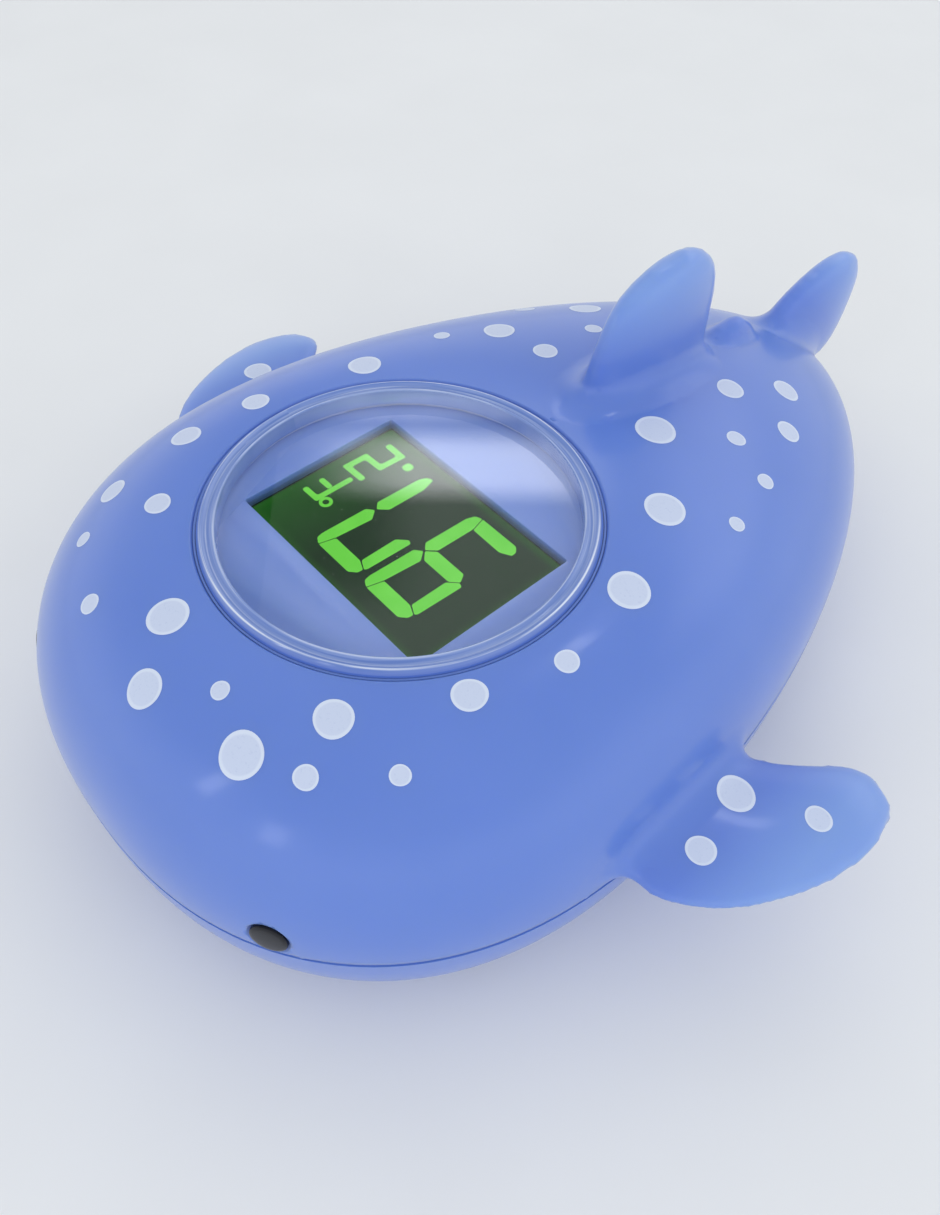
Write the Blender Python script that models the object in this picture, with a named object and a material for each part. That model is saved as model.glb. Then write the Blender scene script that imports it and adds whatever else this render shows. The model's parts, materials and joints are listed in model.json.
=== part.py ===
"""Floating baby bath thermometer: a whale-shark float with a round window over a digital display.

The shark swims along -Y, its left side is +X, and it stands on its flat belly at z = 0.
The numbers are in millimetres, and MM turns them into Blender's metres where a mesh is made.
"""
from math import cos, pi, radians, sin, tau

import bmesh
import bpy
import numpy as np
from mathutils import Vector

MM = 0.001

# Overall form, measured from the lens axis
HEAD_REACH = 43.2            # lens axis to the nose
BODY_TAIL_REACH = 78.9       # lens axis to the end of the body
TAIL_FIN_REACH = 89.8        # lens axis to the rear edge of the tail fin
BODY_HALF_WIDTH = 41.8
WIDEST_BEFORE_LENS = 0.5     # the widest place lies this far ahead of the lens axis
HEAD_POWER = 2.3             # superellipse powers of the outline seen from above
TAIL_POWER = 1.8
BASE_DEPTH = 18.0            # belly to the parting line
DOME_RISE = 19.2             # parting line to the lens ring
DOME_POWER = 2.07            # superellipse power of the dome's section
BASE_POWER = 2.3
FLAT_SHARE = 0.56            # how much of the outline the flat belly takes
WALL = 2.2
LENS_LIP = 0.5               # level edge of the dome round the lens pocket
RIM_WIDTH = 5.2              # thickened wall at the parting line
RIM_HEIGHT = 2.6
CLEAR = 0.3                  # gap between pieces that touch

# Lens and its pocket
LENS_RADIUS = 22.8
LENS_BEVEL = 1.9
LENS_BEVEL_DROP = 0.8
LENS_PROUD = 0.5
LENS_THICKNESS = 2.7
LENS_GASKET_WIDTH = 1.7
LENS_GASKET_HEIGHT = 0.4
POCKET_FLOOR = 1.5
POCKET_WALL = 2.2

# Display stack under the pocket floor
WINDOW_SIZE = (31.2, 21.6)
PANEL_SIZE = (35.0, 27.0)
PANEL_THICKNESS = 1.8
GUIDE_SIZE = (28.6, 20.6)
GUIDE_THICKNESS = 2.4
ZEBRA_WIDTH = 1.6
LED_SIZE = (1.4, 3.0, 1.2)
FRAME_WALL = 2.0
STRIP_SHORTENING = 2.0       # a contact strip is this much shorter than the panel
BOARD_THICKNESS = 1.2
BOARD_SCREW_OUT = (0.8, -0.2)    # outer corner of the display's frame to the board's screw
BOARD_BOSS_RADIUS = 2.6
CHIP_RADIUS = 5.0
CHIP_HEIGHT = 1.3
CRYSTAL_RADIUS = 1.0
CRYSTAL_LENGTH = 6.0
CRYSTAL_SHIFT = 10.0         # lens axis to the crystal

# Screws
BOARD_SCREW = dict(shank=0.9, head=1.8, head_height=1.2, length=4.2)
CASE_SCREW = dict(shank=1.25, head=2.3, head_height=1.7, length=13.0)
DOOR_SCREW = dict(shank=0.9, head=1.8, head_height=1.0, length=4.6)
CASE_COLUMN_RADIUS = 3.4
COLUMN_BEHIND_NOSE = 27.2    # nose to the front columns
COLUMN_BEFORE_TAIL = 33.4    # rear columns to the end of the body
COLUMN_FROM_SIDE = 23.4      # rear columns to the float's widest place
CASE_SCREW_SEAT = 8.0        # parting line down to the screw head's seat

# Battery bay in the belly
BAY_SHIFT = 14.0             # lens axis to the middle of the bay
DOOR_HALF_WIDTH = 15.6
DOOR_HALF_LENGTH = 23.0
DOOR_THICKNESS = 2.0
DOOR_SCREW_PLACE = 19.4
BAY_WALL = 2.2
BAY_ROOF = 2.2
CELL_RADIUS = 10.0
CELL_HEIGHT = 3.2
CONTACT_THICKNESS = 0.3
CONTACT_WIDTH = 3.0
CONTACT_TAB_TOP = 11.0
MINUS_CONTACT_RADIUS = 5.0
DOOR_GASKET_RADIUS = 12.8
DOOR_GASKET_WIDTH = 1.2
DOOR_GASKET_HEIGHT = 0.9

# Sensor and water contacts
SENSOR_SHIFT = -17.6         # lens axis to the sensor
SENSOR_RADIUS = 3.4
SENSOR_FLANGE = 1.5
SENSOR_HEIGHT = 6.5
SENSOR_SKIN = 0.4
SENSOR_FLOOR = 0.8           # thickness of the cap's end
SENSOR_BEVEL = 0.6
SENSOR_SEAL_HEIGHT = 0.9
THERMISTOR_RADIUS = 1.2
THERMISTOR_LENGTH = 3.4
STUD_PLACE = (13.0, -12.0)
STUD_RADIUS = 1.5
STUD_HEAD_RADIUS = 2.6
STUD_HEAD_HEIGHT = 1.0
STUD_LENGTH = 7.0
BOSS_HEIGHT = 2.4

# Seal between the shells
SEAL_INSET = 2.7
SEAL_WIDTH = 1.2
SEAL_HEIGHT = 0.9

# Eyes, at an angle from the nose and a height above the parting line
EYE_ANGLE = 33.0
EYE_HEIGHT = 2.7
EYE_RADIUS = 2.1
EYE_DEPTH = 1.3
EYE_CROWN = 0.2

WIRE_RADIUS = 0.55
WIRE_POINTS = 9
WIRE_RISE = 3.0              # straight stretch at each end of a wire
RED_WIRE_PAD = (15.0, 13.0)  # where the wires meet the board, from the lens axis
BLACK_WIRE_PAD = (8.0, 14.0)
SENSOR_WIRE_PAD = (0.0, -12.0)
CONTACT_WIRE_PAD = (17.0, -8.0)

OVERSHOOT = 1.0              # how far a cutting tool passes the face that it cuts
AXIS_RADIUS = 0.05           # where a turned profile stops short of its axis

# Outlines of the fins as pairs of leading and trailing points, root to tip, with the half
# thickness there. The first number is the distance from the lens axis, and the second the height
# above the lens ring. The pectoral fins give distance from the middle, then from the lens axis.
DORSAL = dict(
    lead=[(25.2, -3.0), (28.6, 0.8), (30.6, 6.5), (33.2, 11.3), (38.5, 13.9), (43.5, 14.5)],
    trail=[(54.5, -5.5), (51.8, -1.6), (51.7, 3.5), (51.6, 8.0), (50.3, 11.6), (47.8, 13.7)],
    half=[5.0, 3.5, 3.0, 2.7, 2.1, 1.1])
SECOND_DORSAL = dict(
    lead=[(50.6, -6.0), (52.5, -3.8), (55.0, -2.2), (57.8, -1.6)],
    trail=[(66.0, -9.5), (64.2, -6.4), (63.2, -3.9), (61.2, -2.1)],
    half=[2.8, 2.2, 1.8, 1.0])
TAIL_FIN = dict(
    lead=[(61.5, -9.5), (67.0, -7.2), (70.8, -4.4), (75.4, -2.6), (80.5, -1.6), (85.0, -1.7)],
    trail=[(79.0, -18.8), (86.0, -18.8), (88.8, -15.4), (89.7, -11.0), (89.8, -7.0), (88.6, -4.0)],
    half=[4.4, 3.2, 2.8, 2.5, 2.0, 1.1])
PECTORAL = dict(
    lead=[(35.0, -11.0), (42.3, -6.6), (47.8, -4.6), (53.2, 0.8), (56.9, 8.9), (58.0, 16.0), (57.2, 21.0)],
    trail=[(35.0, 17.5), (41.2, 15.5), (45.0, 17.5), (47.8, 20.6), (50.3, 23.2), (52.8, 24.1), (55.4, 23.4)],
    half=[2.0, 2.0, 1.95, 1.85, 1.6, 1.2, 0.7])
PECTORAL_LIFT = 0.1          # upper shell's edge to the underside of a pectoral fin

SPOKES = 60
ROUND_SIDES = 16
FINE_SIDES = 12              # sides of screws and other small round pieces
LARGE_SIDES = 32             # sides of the battery bay's round pieces
DOME_STEPS = 10
BOWL_STEPS = 7
HOLLOW_STEPS = 6

# Heights and places that follow from the sizes above
LENS_Y = (HEAD_REACH - TAIL_FIN_REACH) / 2
PARTING_Z = BASE_DEPTH
RING_Z = PARTING_Z + DOME_RISE
UPPER_EDGE_Z = PARTING_Z + CLEAR / 2
LOWER_EDGE_Z = PARTING_Z - CLEAR / 2
POCKET_RADIUS = LENS_RADIUS + CLEAR
DOME_RADIUS = POCKET_RADIUS + LENS_LIP
LENS_TOP_Z = RING_Z + LENS_PROUD
LENS_BOTTOM_Z = LENS_TOP_Z - LENS_THICKNESS
LENS_GASKET_Z = LENS_BOTTOM_Z - CLEAR - LENS_GASKET_HEIGHT
POCKET_FLOOR_Z = LENS_GASKET_Z - CLEAR
FLOOR_UNDER_Z = POCKET_FLOOR_Z - POCKET_FLOOR
PANEL_TOP_Z = FLOOR_UNDER_Z - CLEAR
PANEL_BOTTOM_Z = PANEL_TOP_Z - PANEL_THICKNESS
GUIDE_TOP_Z = PANEL_BOTTOM_Z - CLEAR
BOARD_TOP_Z = GUIDE_TOP_Z - GUIDE_THICKNESS - CLEAR
BOARD_BOTTOM_Z = BOARD_TOP_Z - BOARD_THICKNESS
FRAME_INNER = tuple(size + 2 * CLEAR for size in PANEL_SIZE)
FRAME_OUTER = tuple(size + 2 * FRAME_WALL for size in FRAME_INNER)
BOARD_SCREW_PLACE = tuple(size / 2 + out for size, out in zip(FRAME_OUTER, BOARD_SCREW_OUT))
BOARD_SIZE = tuple(2 * (place + BOARD_BOSS_RADIUS + CLEAR) for place in BOARD_SCREW_PLACE)
CASE_COLUMN_FRONT = ((BOARD_SIZE[0] / 2 + BODY_HALF_WIDTH - RIM_WIDTH) / 2, COLUMN_BEHIND_NOSE - HEAD_REACH)
CASE_COLUMN_REAR = (BODY_HALF_WIDTH - COLUMN_FROM_SIDE, BODY_TAIL_REACH - COLUMN_BEFORE_TAIL)
BAY_Y = LENS_Y + BAY_SHIFT
DOOR_BOTTOM_Z = CLEAR
DOOR_TOP_Z = DOOR_BOTTOM_Z + DOOR_THICKNESS
DOOR_RECESS_Z = DOOR_TOP_Z + CLEAR
CELL_TOP_Z = DOOR_RECESS_Z + CELL_HEIGHT
MINUS_CONTACT_Z = CELL_TOP_Z + CLEAR
BAY_ROOF_Z = MINUS_CONTACT_Z + CONTACT_THICKNESS + CLEAR
BAY_TOP_Z = BAY_ROOF_Z + BAY_ROOF
SENSOR_Y = LENS_Y + SENSOR_SHIFT
STUD_Y = LENS_Y + STUD_PLACE[1]
BOSS_TOP_Z = WALL + BOSS_HEIGHT


def material(name, color, roughness=0.4, metallic=0.0, transmission=0.0):
    """A plain Principled material for one kind of finish."""
    made = bpy.data.materials.new(name)
    made.use_nodes = True
    shader = made.node_tree.nodes["Principled BSDF"]
    shader.inputs["Base Color"].default_value = (*color, 1.0)
    shader.inputs["Roughness"].default_value = roughness
    shader.inputs["Metallic"].default_value = metallic
    shader.inputs["Transmission Weight"].default_value = transmission
    return made


def finish_object(obj, finish, crease=35.0):
    """Give an object its material and smooth shading that keeps its real edges."""
    obj.data.materials.clear()
    obj.data.materials.append(finish)
    obj.data.shade_smooth()
    obj.data.set_sharp_from_angle(angle=radians(crease))
    return obj


def object_from(name, points, faces):
    """Make a mesh object from points in millimetres, with its faces turned outwards."""
    mesh = bpy.data.meshes.new(name)
    mesh.from_pydata([(p[0] * MM, p[1] * MM, p[2] * MM) for p in points], [], faces)
    shape = bmesh.new()
    shape.from_mesh(mesh)
    bmesh.ops.recalc_face_normals(shape, faces=shape.faces)
    shape.to_mesh(mesh)
    shape.free()
    obj = bpy.data.objects.new(name, mesh)
    bpy.context.collection.objects.link(obj)
    return obj


def loft(name, rings):
    """Skin a stack of rings that have equal counts, and close both ends with flat caps."""
    count = len(rings[0])
    points = [point for ring in rings for point in ring]
    faces = [list(range(count)), [count * (len(rings) - 1) + k for k in range(count)]]
    for level in range(len(rings) - 1):
        base = level * count
        for k in range(count):
            after = (k + 1) % count
            faces.append([base + k, base + after, base + count + after, base + count + k])
    return object_from(name, points, faces)


def turned(name, profile, center=(0.0, 0.0), sides=ROUND_SIDES):
    """Turn a profile of (radius, height) points about a vertical axis, closed at its ends."""
    angles = [tau * k / sides for k in range(sides)]
    rings = []
    for radius, z in profile:
        rings.append([(center[0] + radius * cos(a), center[1] + radius * sin(a), z) for a in angles])
    return loft(name, rings)


def turned_ring(name, profile, center=(0.0, 0.0), sides=ROUND_SIDES):
    """Turn a closed profile that doesn't reach the axis, such as a washer's section."""
    points = []
    faces = []
    count = len(profile)
    for k in range(sides):
        angle = tau * k / sides
        for radius, z in profile:
            points.append((center[0] + radius * cos(angle), center[1] + radius * sin(angle), z))
        for j in range(count):
            this, following = k * count, (k + 1) % sides * count
            step = (j + 1) % count
            faces.append([this + j, following + j, following + step, this + step])
    return object_from(name, points, faces)


def washer(name, inner, outer, low, high, center=(0.0, 0.0), sides=ROUND_SIDES):
    """A flat ring between two radii and two heights."""
    return turned_ring(name, [(inner, low), (outer, low), (outer, high), (inner, high)], center, sides)


def cylinder(name, radius, low, high, center=(0.0, 0.0), sides=ROUND_SIDES):
    """An upright cylinder."""
    return turned(name, [(radius, low), (radius, high)], center, sides)


def block(name, low, high):
    """A box between its lowest and highest corners."""
    (x0, y0, z0), (x1, y1, z1) = low, high
    bottom = [(x0, y0, z0), (x1, y0, z0), (x1, y1, z0), (x0, y1, z0)]
    top = [(x0, y0, z1), (x1, y0, z1), (x1, y1, z1), (x0, y1, z1)]
    return loft(name, [bottom, top])


def centred_block(name, size, low, high, center=(0.0, 0.0)):
    """A box of a given width and length about an upright axis."""
    half_x, half_y = size[0] / 2, size[1] / 2
    return block(name, (center[0] - half_x, center[1] - half_y, low),
                 (center[0] + half_x, center[1] + half_y, high))


def stadium(name, half_width, half_length, low, high, center, inset=0.0):
    """An upright block with round ends along Y; its upper edge may be drawn in by an inset."""
    arc = half_length - half_width
    turn = [pi * k / (ROUND_SIDES // 2) for k in range(ROUND_SIDES // 2 + 1)]

    def outline(radius, z):
        rear = [(center[0] + radius * cos(a), center[1] + arc + radius * sin(a), z) for a in turn]
        front = [(center[0] - radius * cos(a), center[1] - arc - radius * sin(a), z) for a in turn]
        return rear + front
    return loft(name, [outline(half_width, low), outline(half_width - inset, high)])


def combine(target, operation, *tools):
    """Join or cut a solid with others, which are used up."""
    for tool in tools:
        modifier = target.modifiers.new("combine", 'BOOLEAN')
        modifier.operation = operation
        modifier.solver = 'EXACT'
        modifier.object = tool
        graph = bpy.context.evaluated_depsgraph_get()
        solid = bpy.data.meshes.new_from_object(target.evaluated_get(graph))
        target.modifiers.remove(modifier)
        old = target.data
        target.data = solid
        bpy.data.meshes.remove(old)
        bpy.data.objects.remove(tool)
    return target


def cut(target, *tools):
    return combine(target, 'DIFFERENCE', *tools)


def join(target, *tools):
    return combine(target, 'UNION', *tools)


def outline_radius(angles):
    """Distance from the lens axis to the outline, at angles from the nose."""
    across = np.sin(angles)
    along = -np.cos(angles)
    near = np.zeros_like(angles)
    far = np.full_like(angles, 2 * BODY_TAIL_REACH)
    for _ in range(40):
        middle = (near + far) / 2
        y = middle * along + WIDEST_BEFORE_LENS
        behind = y > 0
        length = np.where(behind, BODY_TAIL_REACH + WIDEST_BEFORE_LENS, HEAD_REACH - WIDEST_BEFORE_LENS)
        power = np.where(behind, TAIL_POWER, HEAD_POWER)
        inside = np.abs(middle * across / BODY_HALF_WIDTH) ** power + np.abs(y / length) ** power < 1
        near = np.where(inside, middle, near)
        far = np.where(inside, far, middle)
    return near


def spoke_angles():
    """Angles from the nose that cut the outline into equal lengths, the same on both sides."""
    fine = np.linspace(0, pi, 721)
    radius = outline_radius(fine)
    steps = np.hypot(np.diff(radius * np.sin(fine)), np.diff(radius * np.cos(fine)))
    run = np.concatenate([[0], np.cumsum(steps)])
    half = np.interp(np.linspace(0, run[-1], SPOKES // 2 + 1), run, fine)
    return np.concatenate([half, tau - half[-2:0:-1]])


ANGLES = spoke_angles()
OUTLINE = outline_radius(ANGLES)


def body_ring(radii, z):
    """One ring of the body: a radius on every spoke, all at one height."""
    radii = np.broadcast_to(radii, ANGLES.shape)
    return [(r * sin(a), LENS_Y - r * cos(a), z) for r, a in zip(radii, ANGLES)]


def dome_rings(inner_radius, outline, top, bottom, steps=DOME_STEPS):
    """Rings of a dome that leaves a circle level and meets the parting line upright."""
    rings = []
    for turn in np.linspace(0, pi / 2, steps + 1):
        share = sin(turn) ** (2 / DOME_POWER)
        drop = 1 - max(cos(turn), 0.0) ** (2 / DOME_POWER)
        rings.append(body_ring(inner_radius + (outline - inner_radius) * share, top - (top - bottom) * drop))
    return rings


def bowl_rings(outline, flat, top, bottom, steps=BOWL_STEPS):
    """Rings of the belly, from the upright wall at the parting line down to the flat."""
    rings = []
    for turn in np.linspace(0, pi / 2, steps + 1):
        share = max(cos(turn), 0.0) ** (2 / BASE_POWER)
        drop = sin(turn) ** (2 / BASE_POWER)
        rings.append(body_ring(flat + (outline - flat) * share, top - (top - bottom) * drop))
    return rings


def body_band(name, inner_inset, outer_inset, low, high):
    """A ring that follows the outline, between two insets and two heights."""
    points = body_ring(OUTLINE - inner_inset, low) + body_ring(OUTLINE - outer_inset, low)
    points += body_ring(OUTLINE - outer_inset, high) + body_ring(OUTLINE - inner_inset, high)
    faces = []
    for side in range(4):
        this, following = side * SPOKES, (side + 1) % 4 * SPOKES
        for k in range(SPOKES):
            after = (k + 1) % SPOKES
            faces.append([this + k, this + after, following + after, following + k])
    return object_from(name, points, faces)


def dome_point(angle, height):
    """A point on the dome and its outward normal, at an angle from the nose and a height."""
    def point(a, z):
        rise = (z - UPPER_EDGE_Z) / (RING_Z - UPPER_EDGE_Z)
        share = (1 - rise ** DOME_POWER) ** (1 / DOME_POWER)
        reach = outline_radius(np.array([a]))[0]
        r = DOME_RADIUS + (reach - DOME_RADIUS) * share
        return Vector((r * sin(a), LENS_Y - r * cos(a), z))
    here = point(angle, height)
    around = point(angle + 0.01, height) - here
    upward = point(angle, height + 0.1) - here
    return here, around.cross(upward).normalized()


def smooth_path(points, count):
    """Points spaced along a Catmull-Rom curve through the given ones."""
    knots = np.array(points, dtype=float)
    if knots.ndim == 1:
        knots = knots[:, None]
    padded = np.vstack([2 * knots[0] - knots[1], knots, 2 * knots[-1] - knots[-2]])
    path = []
    for place in np.linspace(0, len(knots) - 1, count):
        k = min(int(place), len(knots) - 2)
        t = place - k
        a, b, c, d = padded[k:k + 4]
        path.append(0.5 * (2 * b + (c - a) * t + (2 * a - 5 * b + 4 * c - d) * t ** 2
                           + (3 * b - a - 3 * c + d) * t ** 3))
    return np.array(path)


def fin(name, shape, place, across, stations=11, sides=14):
    """A fin of elliptical sections between its leading and trailing edges, closed to a thin tip."""
    lead = smooth_path(shape["lead"], stations)
    trail = smooth_path(shape["trail"], stations)
    half = smooth_path(shape["half"], stations)[:, 0]
    across = np.array(across)
    rings = []
    for front, rear, thick in zip(lead, trail, half):
        start, end = np.array(place(front, thick)), np.array(place(rear, thick))
        middle, chord = (start + end) / 2, (end - start) / 2
        ring = [middle + chord * cos(tau * k / sides) + across * thick * sin(tau * k / sides)
                for k in range(sides)]
        rings.append(ring)
    return loft(name, rings)


def upright_place(point, _):
    """Where a point of a dorsal or tail fin's outline lies."""
    return 0.0, LENS_Y + point[0], RING_Z + point[1]


def case_columns():
    """Places of the four columns that the case screws pass through."""
    return [(side * x, LENS_Y + y) for x, y in (CASE_COLUMN_FRONT, CASE_COLUMN_REAR) for side in (1, -1)]


def board_screws():
    """Places of the four screws that hold the board."""
    x, y = BOARD_SCREW_PLACE
    return [(sx * x, LENS_Y + sy * y) for sy in (-1, 1) for sx in (1, -1)]


def door_screws():
    """Places of the two screws that hold the battery door."""
    return [(0, BAY_Y + side * DOOR_SCREW_PLACE) for side in (1, -1)]


def studs():
    """Places of the two contacts that feel the water, left and right."""
    return [(side * STUD_PLACE[0], STUD_Y) for side in (1, -1)]


def pectoral(side):
    """One pectoral fin, level underneath; side is 1 on the left and -1 on the right."""
    def place(point, thick):
        return side * point[0], LENS_Y + point[1], UPPER_EDGE_Z + PECTORAL_LIFT + thick
    return fin("pectoral_tool", PECTORAL, place, (0, 0, 1))


def disc_on_dome(name, side, radius, low, high, crown=0.0):
    """A round plug square to the dome at an eye, with an optional domed face."""
    here, normal = dome_point(side * radians(EYE_ANGLE), PARTING_Z + EYE_HEIGHT)
    sideways = normal.cross(Vector((0, 0, 1))).normalized()
    upward = sideways.cross(normal)
    levels = [(radius, low), (radius, high)]
    if crown:
        levels += [(radius * cos(a), high + crown * sin(a)) for a in (0.5, 0.9, 1.25)]
    rings = []
    for reach, depth in levels:
        ring = []
        for k in range(ROUND_SIDES):
            a = tau * k / ROUND_SIDES
            ring.append(here + normal * depth + (sideways * cos(a) + upward * sin(a)) * reach)
        rings.append(ring)
    return loft(name, rings)


def make_upper_shell(finish):
    """The blue top moulding: the dome with all its fins, the lens pocket and the screw bosses."""
    within = body_ring(POCKET_RADIUS / 2, RING_Z)
    shell = loft("upper_shell", [within] + dome_rings(DOME_RADIUS, OUTLINE, RING_Z, UPPER_EDGE_Z))
    join(shell, fin("fin_tool", DORSAL, upright_place, (1, 0, 0)))
    join(shell, fin("fin_tool", SECOND_DORSAL, upright_place, (1, 0, 0), stations=8, sides=12))
    join(shell, fin("fin_tool", TAIL_FIN, upright_place, (1, 0, 0)))
    join(shell, pectoral(1), pectoral(-1))

    below = UPPER_EDGE_Z - RIM_HEIGHT
    inner = POCKET_RADIUS + POCKET_WALL
    rings = [body_ring(inner, FLOOR_UNDER_Z)]
    rings += dome_rings(inner, OUTLINE - WALL, RING_Z - WALL, UPPER_EDGE_Z + RIM_HEIGHT, HOLLOW_STEPS)
    rings += [body_ring(OUTLINE - RIM_WIDTH, z) for z in (UPPER_EDGE_Z + RIM_HEIGHT, below)]
    hollow = loft("hollow_tool", rings)
    for place in case_columns():
        cut(hollow, cylinder("column_tool", CASE_COLUMN_RADIUS, below - OVERSHOOT, RING_Z, place))
    for place in board_screws():
        cut(hollow, cylinder("boss_tool", BOARD_BOSS_RADIUS, BOARD_TOP_Z + CLEAR, RING_Z, place))
    cut(shell, hollow)

    middle = (0, LENS_Y)
    above = RING_Z + OVERSHOOT
    cut(shell, cylinder("pocket_tool", POCKET_RADIUS, POCKET_FLOOR_Z, above, middle, SPOKES))
    cut(shell, centred_block("window_tool", WINDOW_SIZE, FLOOR_UNDER_Z - OVERSHOOT, above, middle))
    for place in case_columns():
        depth = CASE_SCREW["length"] - CASE_SCREW_SEAT + 2 * CLEAR
        cut(shell, cylinder("pilot_tool", CASE_SCREW["shank"] + CLEAR, below, PARTING_Z + depth, place))
    for place in board_screws():
        top = BOARD_BOTTOM_Z + BOARD_SCREW["length"]
        cut(shell, cylinder("pilot_tool", BOARD_SCREW["shank"] + CLEAR, BOARD_TOP_Z, top, place, FINE_SIDES))
    for side in (1, -1):
        socket_top = EYE_CROWN + 2 * OVERSHOOT
        cut(shell, disc_on_dome("socket_tool", side, EYE_RADIUS + CLEAR, -EYE_DEPTH - CLEAR, socket_top))
    return finish_object(shell, finish, crease=40)


def make_lower_shell(finish):
    """The blue belly moulding: flat underside, battery bay, sensor boss and screw columns."""
    flat = OUTLINE * FLAT_SHARE
    shell = loft("lower_shell", bowl_rings(OUTLINE, flat, LOWER_EDGE_Z, 0.0))

    rim_under = LOWER_EDGE_Z - RIM_HEIGHT
    below, above = -OVERSHOOT, PARTING_Z + OVERSHOOT
    rings = [body_ring(OUTLINE - RIM_WIDTH, above), body_ring(OUTLINE - RIM_WIDTH, rim_under)]
    rings += bowl_rings(OUTLINE - WALL, flat - WALL / 2, rim_under, WALL, HOLLOW_STEPS)
    hollow = loft("hollow_tool", rings)
    for place in case_columns():
        cut(hollow, cylinder("column_tool", CASE_COLUMN_RADIUS, below, above + OVERSHOOT, place))
    bay = (0, BAY_Y)
    bay_half = (DOOR_HALF_WIDTH + BAY_WALL, DOOR_HALF_LENGTH + BAY_WALL)
    cut(hollow, stadium("bay_tool", *bay_half, below, BAY_TOP_Z, bay))
    boss = SENSOR_RADIUS + SENSOR_FLANGE + WALL
    cut(hollow, cylinder("boss_tool", boss, below, BOSS_TOP_Z, (0, SENSOR_Y)))
    for place in studs():
        cut(hollow, cylinder("boss_tool", STUD_RADIUS + WALL, below, BOSS_TOP_Z, place))
    cut(shell, hollow)

    seat = PARTING_Z - CASE_SCREW_SEAT
    for place in case_columns():
        cut(shell, cylinder("counterbore_tool", CASE_SCREW["head"] + 2 * CLEAR, below, seat, place))
        cut(shell, cylinder("bore_tool", CASE_SCREW["shank"] + CLEAR, seat - OVERSHOOT, above, place))
    cut(shell, body_band("groove_tool", SEAL_INSET + SEAL_WIDTH + CLEAR, SEAL_INSET - CLEAR,
                         LOWER_EDGE_Z - SEAL_HEIGHT - CLEAR, above))
    recess_half = (DOOR_HALF_WIDTH + CLEAR, DOOR_HALF_LENGTH + CLEAR)
    cut(shell, stadium("recess_tool", *recess_half, below, DOOR_RECESS_Z, bay))
    within = DOOR_RECESS_Z - OVERSHOOT
    cut(shell, cylinder("cell_tool", CELL_RADIUS + CLEAR, within, BAY_ROOF_Z, bay, LARGE_SIDES))
    half_width, half_depth = CONTACT_WIDTH / 2 + CLEAR, CONTACT_THICKNESS / 2 + CLEAR
    side_x, slot_top = CELL_RADIUS + CLEAR, BAY_TOP_Z + OVERSHOOT
    cut(shell, block("slot_tool", (side_x - OVERSHOOT, BAY_Y - half_width, within),
                     (side_x + CONTACT_THICKNESS + CLEAR, BAY_Y + half_width, slot_top)))
    cut(shell, block("slot_tool", (-half_width, BAY_Y - half_depth, within),
                     (half_width, BAY_Y + half_depth, slot_top)))
    gasket_half = DOOR_GASKET_WIDTH / 2 + CLEAR
    cut(shell, washer("groove_tool", DOOR_GASKET_RADIUS - gasket_half, DOOR_GASKET_RADIUS + gasket_half,
                      within, DOOR_RECESS_Z + DOOR_GASKET_HEIGHT + CLEAR, bay, LARGE_SIDES))
    for place in door_screws():
        top = DOOR_BOTTOM_Z + DOOR_SCREW["length"] + DOOR_SCREW["head_height"] + CLEAR
        cut(shell, cylinder("pilot_tool", DOOR_SCREW["shank"] + CLEAR, within, top, place, FINE_SIDES))
    boss_above = BOSS_TOP_Z + OVERSHOOT
    for place in studs():
        cut(shell, cylinder("bore_tool", STUD_RADIUS + CLEAR, below, boss_above, place))
        head_top = STUD_HEAD_HEIGHT + 2 * CLEAR
        cut(shell, cylinder("recess_tool", STUD_HEAD_RADIUS + CLEAR, below, head_top, place))
    cut(shell, cylinder("bore_tool", SENSOR_RADIUS + CLEAR, below, boss_above, (0, SENSOR_Y)))
    return finish_object(shell, finish, crease=40)


def make_screw(name, size, finish, place, head_low):
    """A pan-head screw that points up, with a cross recess in its head."""
    head, shank = size["head"], size["shank"]
    head_top = head_low + size["head_height"]
    tip = head_top + size["length"]
    profile = [(head * 0.8, head_low), (head, head_low + size["head_height"] * 0.35), (head, head_top),
               (shank, head_top), (shank, tip - shank), (shank * 0.3, tip)]
    screw = turned(name, profile, place, FINE_SIDES)
    below, depth = head_low - OVERSHOOT, head_low + size["head_height"] * 0.6
    long, short = head * 1.1, head * 0.3
    cross = centred_block("cross_tool", (long, short), below, depth, place)
    join(cross, centred_block("cross_tool", (short, long), below, depth, place))
    cut(screw, cross)
    return finish_object(screw, finish)


def make_lens(finish):
    """The clear disc with its bevelled rim, a little proud of the dome."""
    flat = LENS_RADIUS - LENS_BEVEL
    profile = [(LENS_RADIUS, LENS_BOTTOM_Z), (LENS_RADIUS, LENS_TOP_Z - LENS_BEVEL_DROP),
               (flat + LENS_BEVEL * 0.5, LENS_TOP_Z - LENS_BEVEL_DROP * 0.2), (flat, LENS_TOP_Z)]
    return finish_object(turned("lens", profile, (0, LENS_Y), SPOKES), finish, crease=60)


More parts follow.
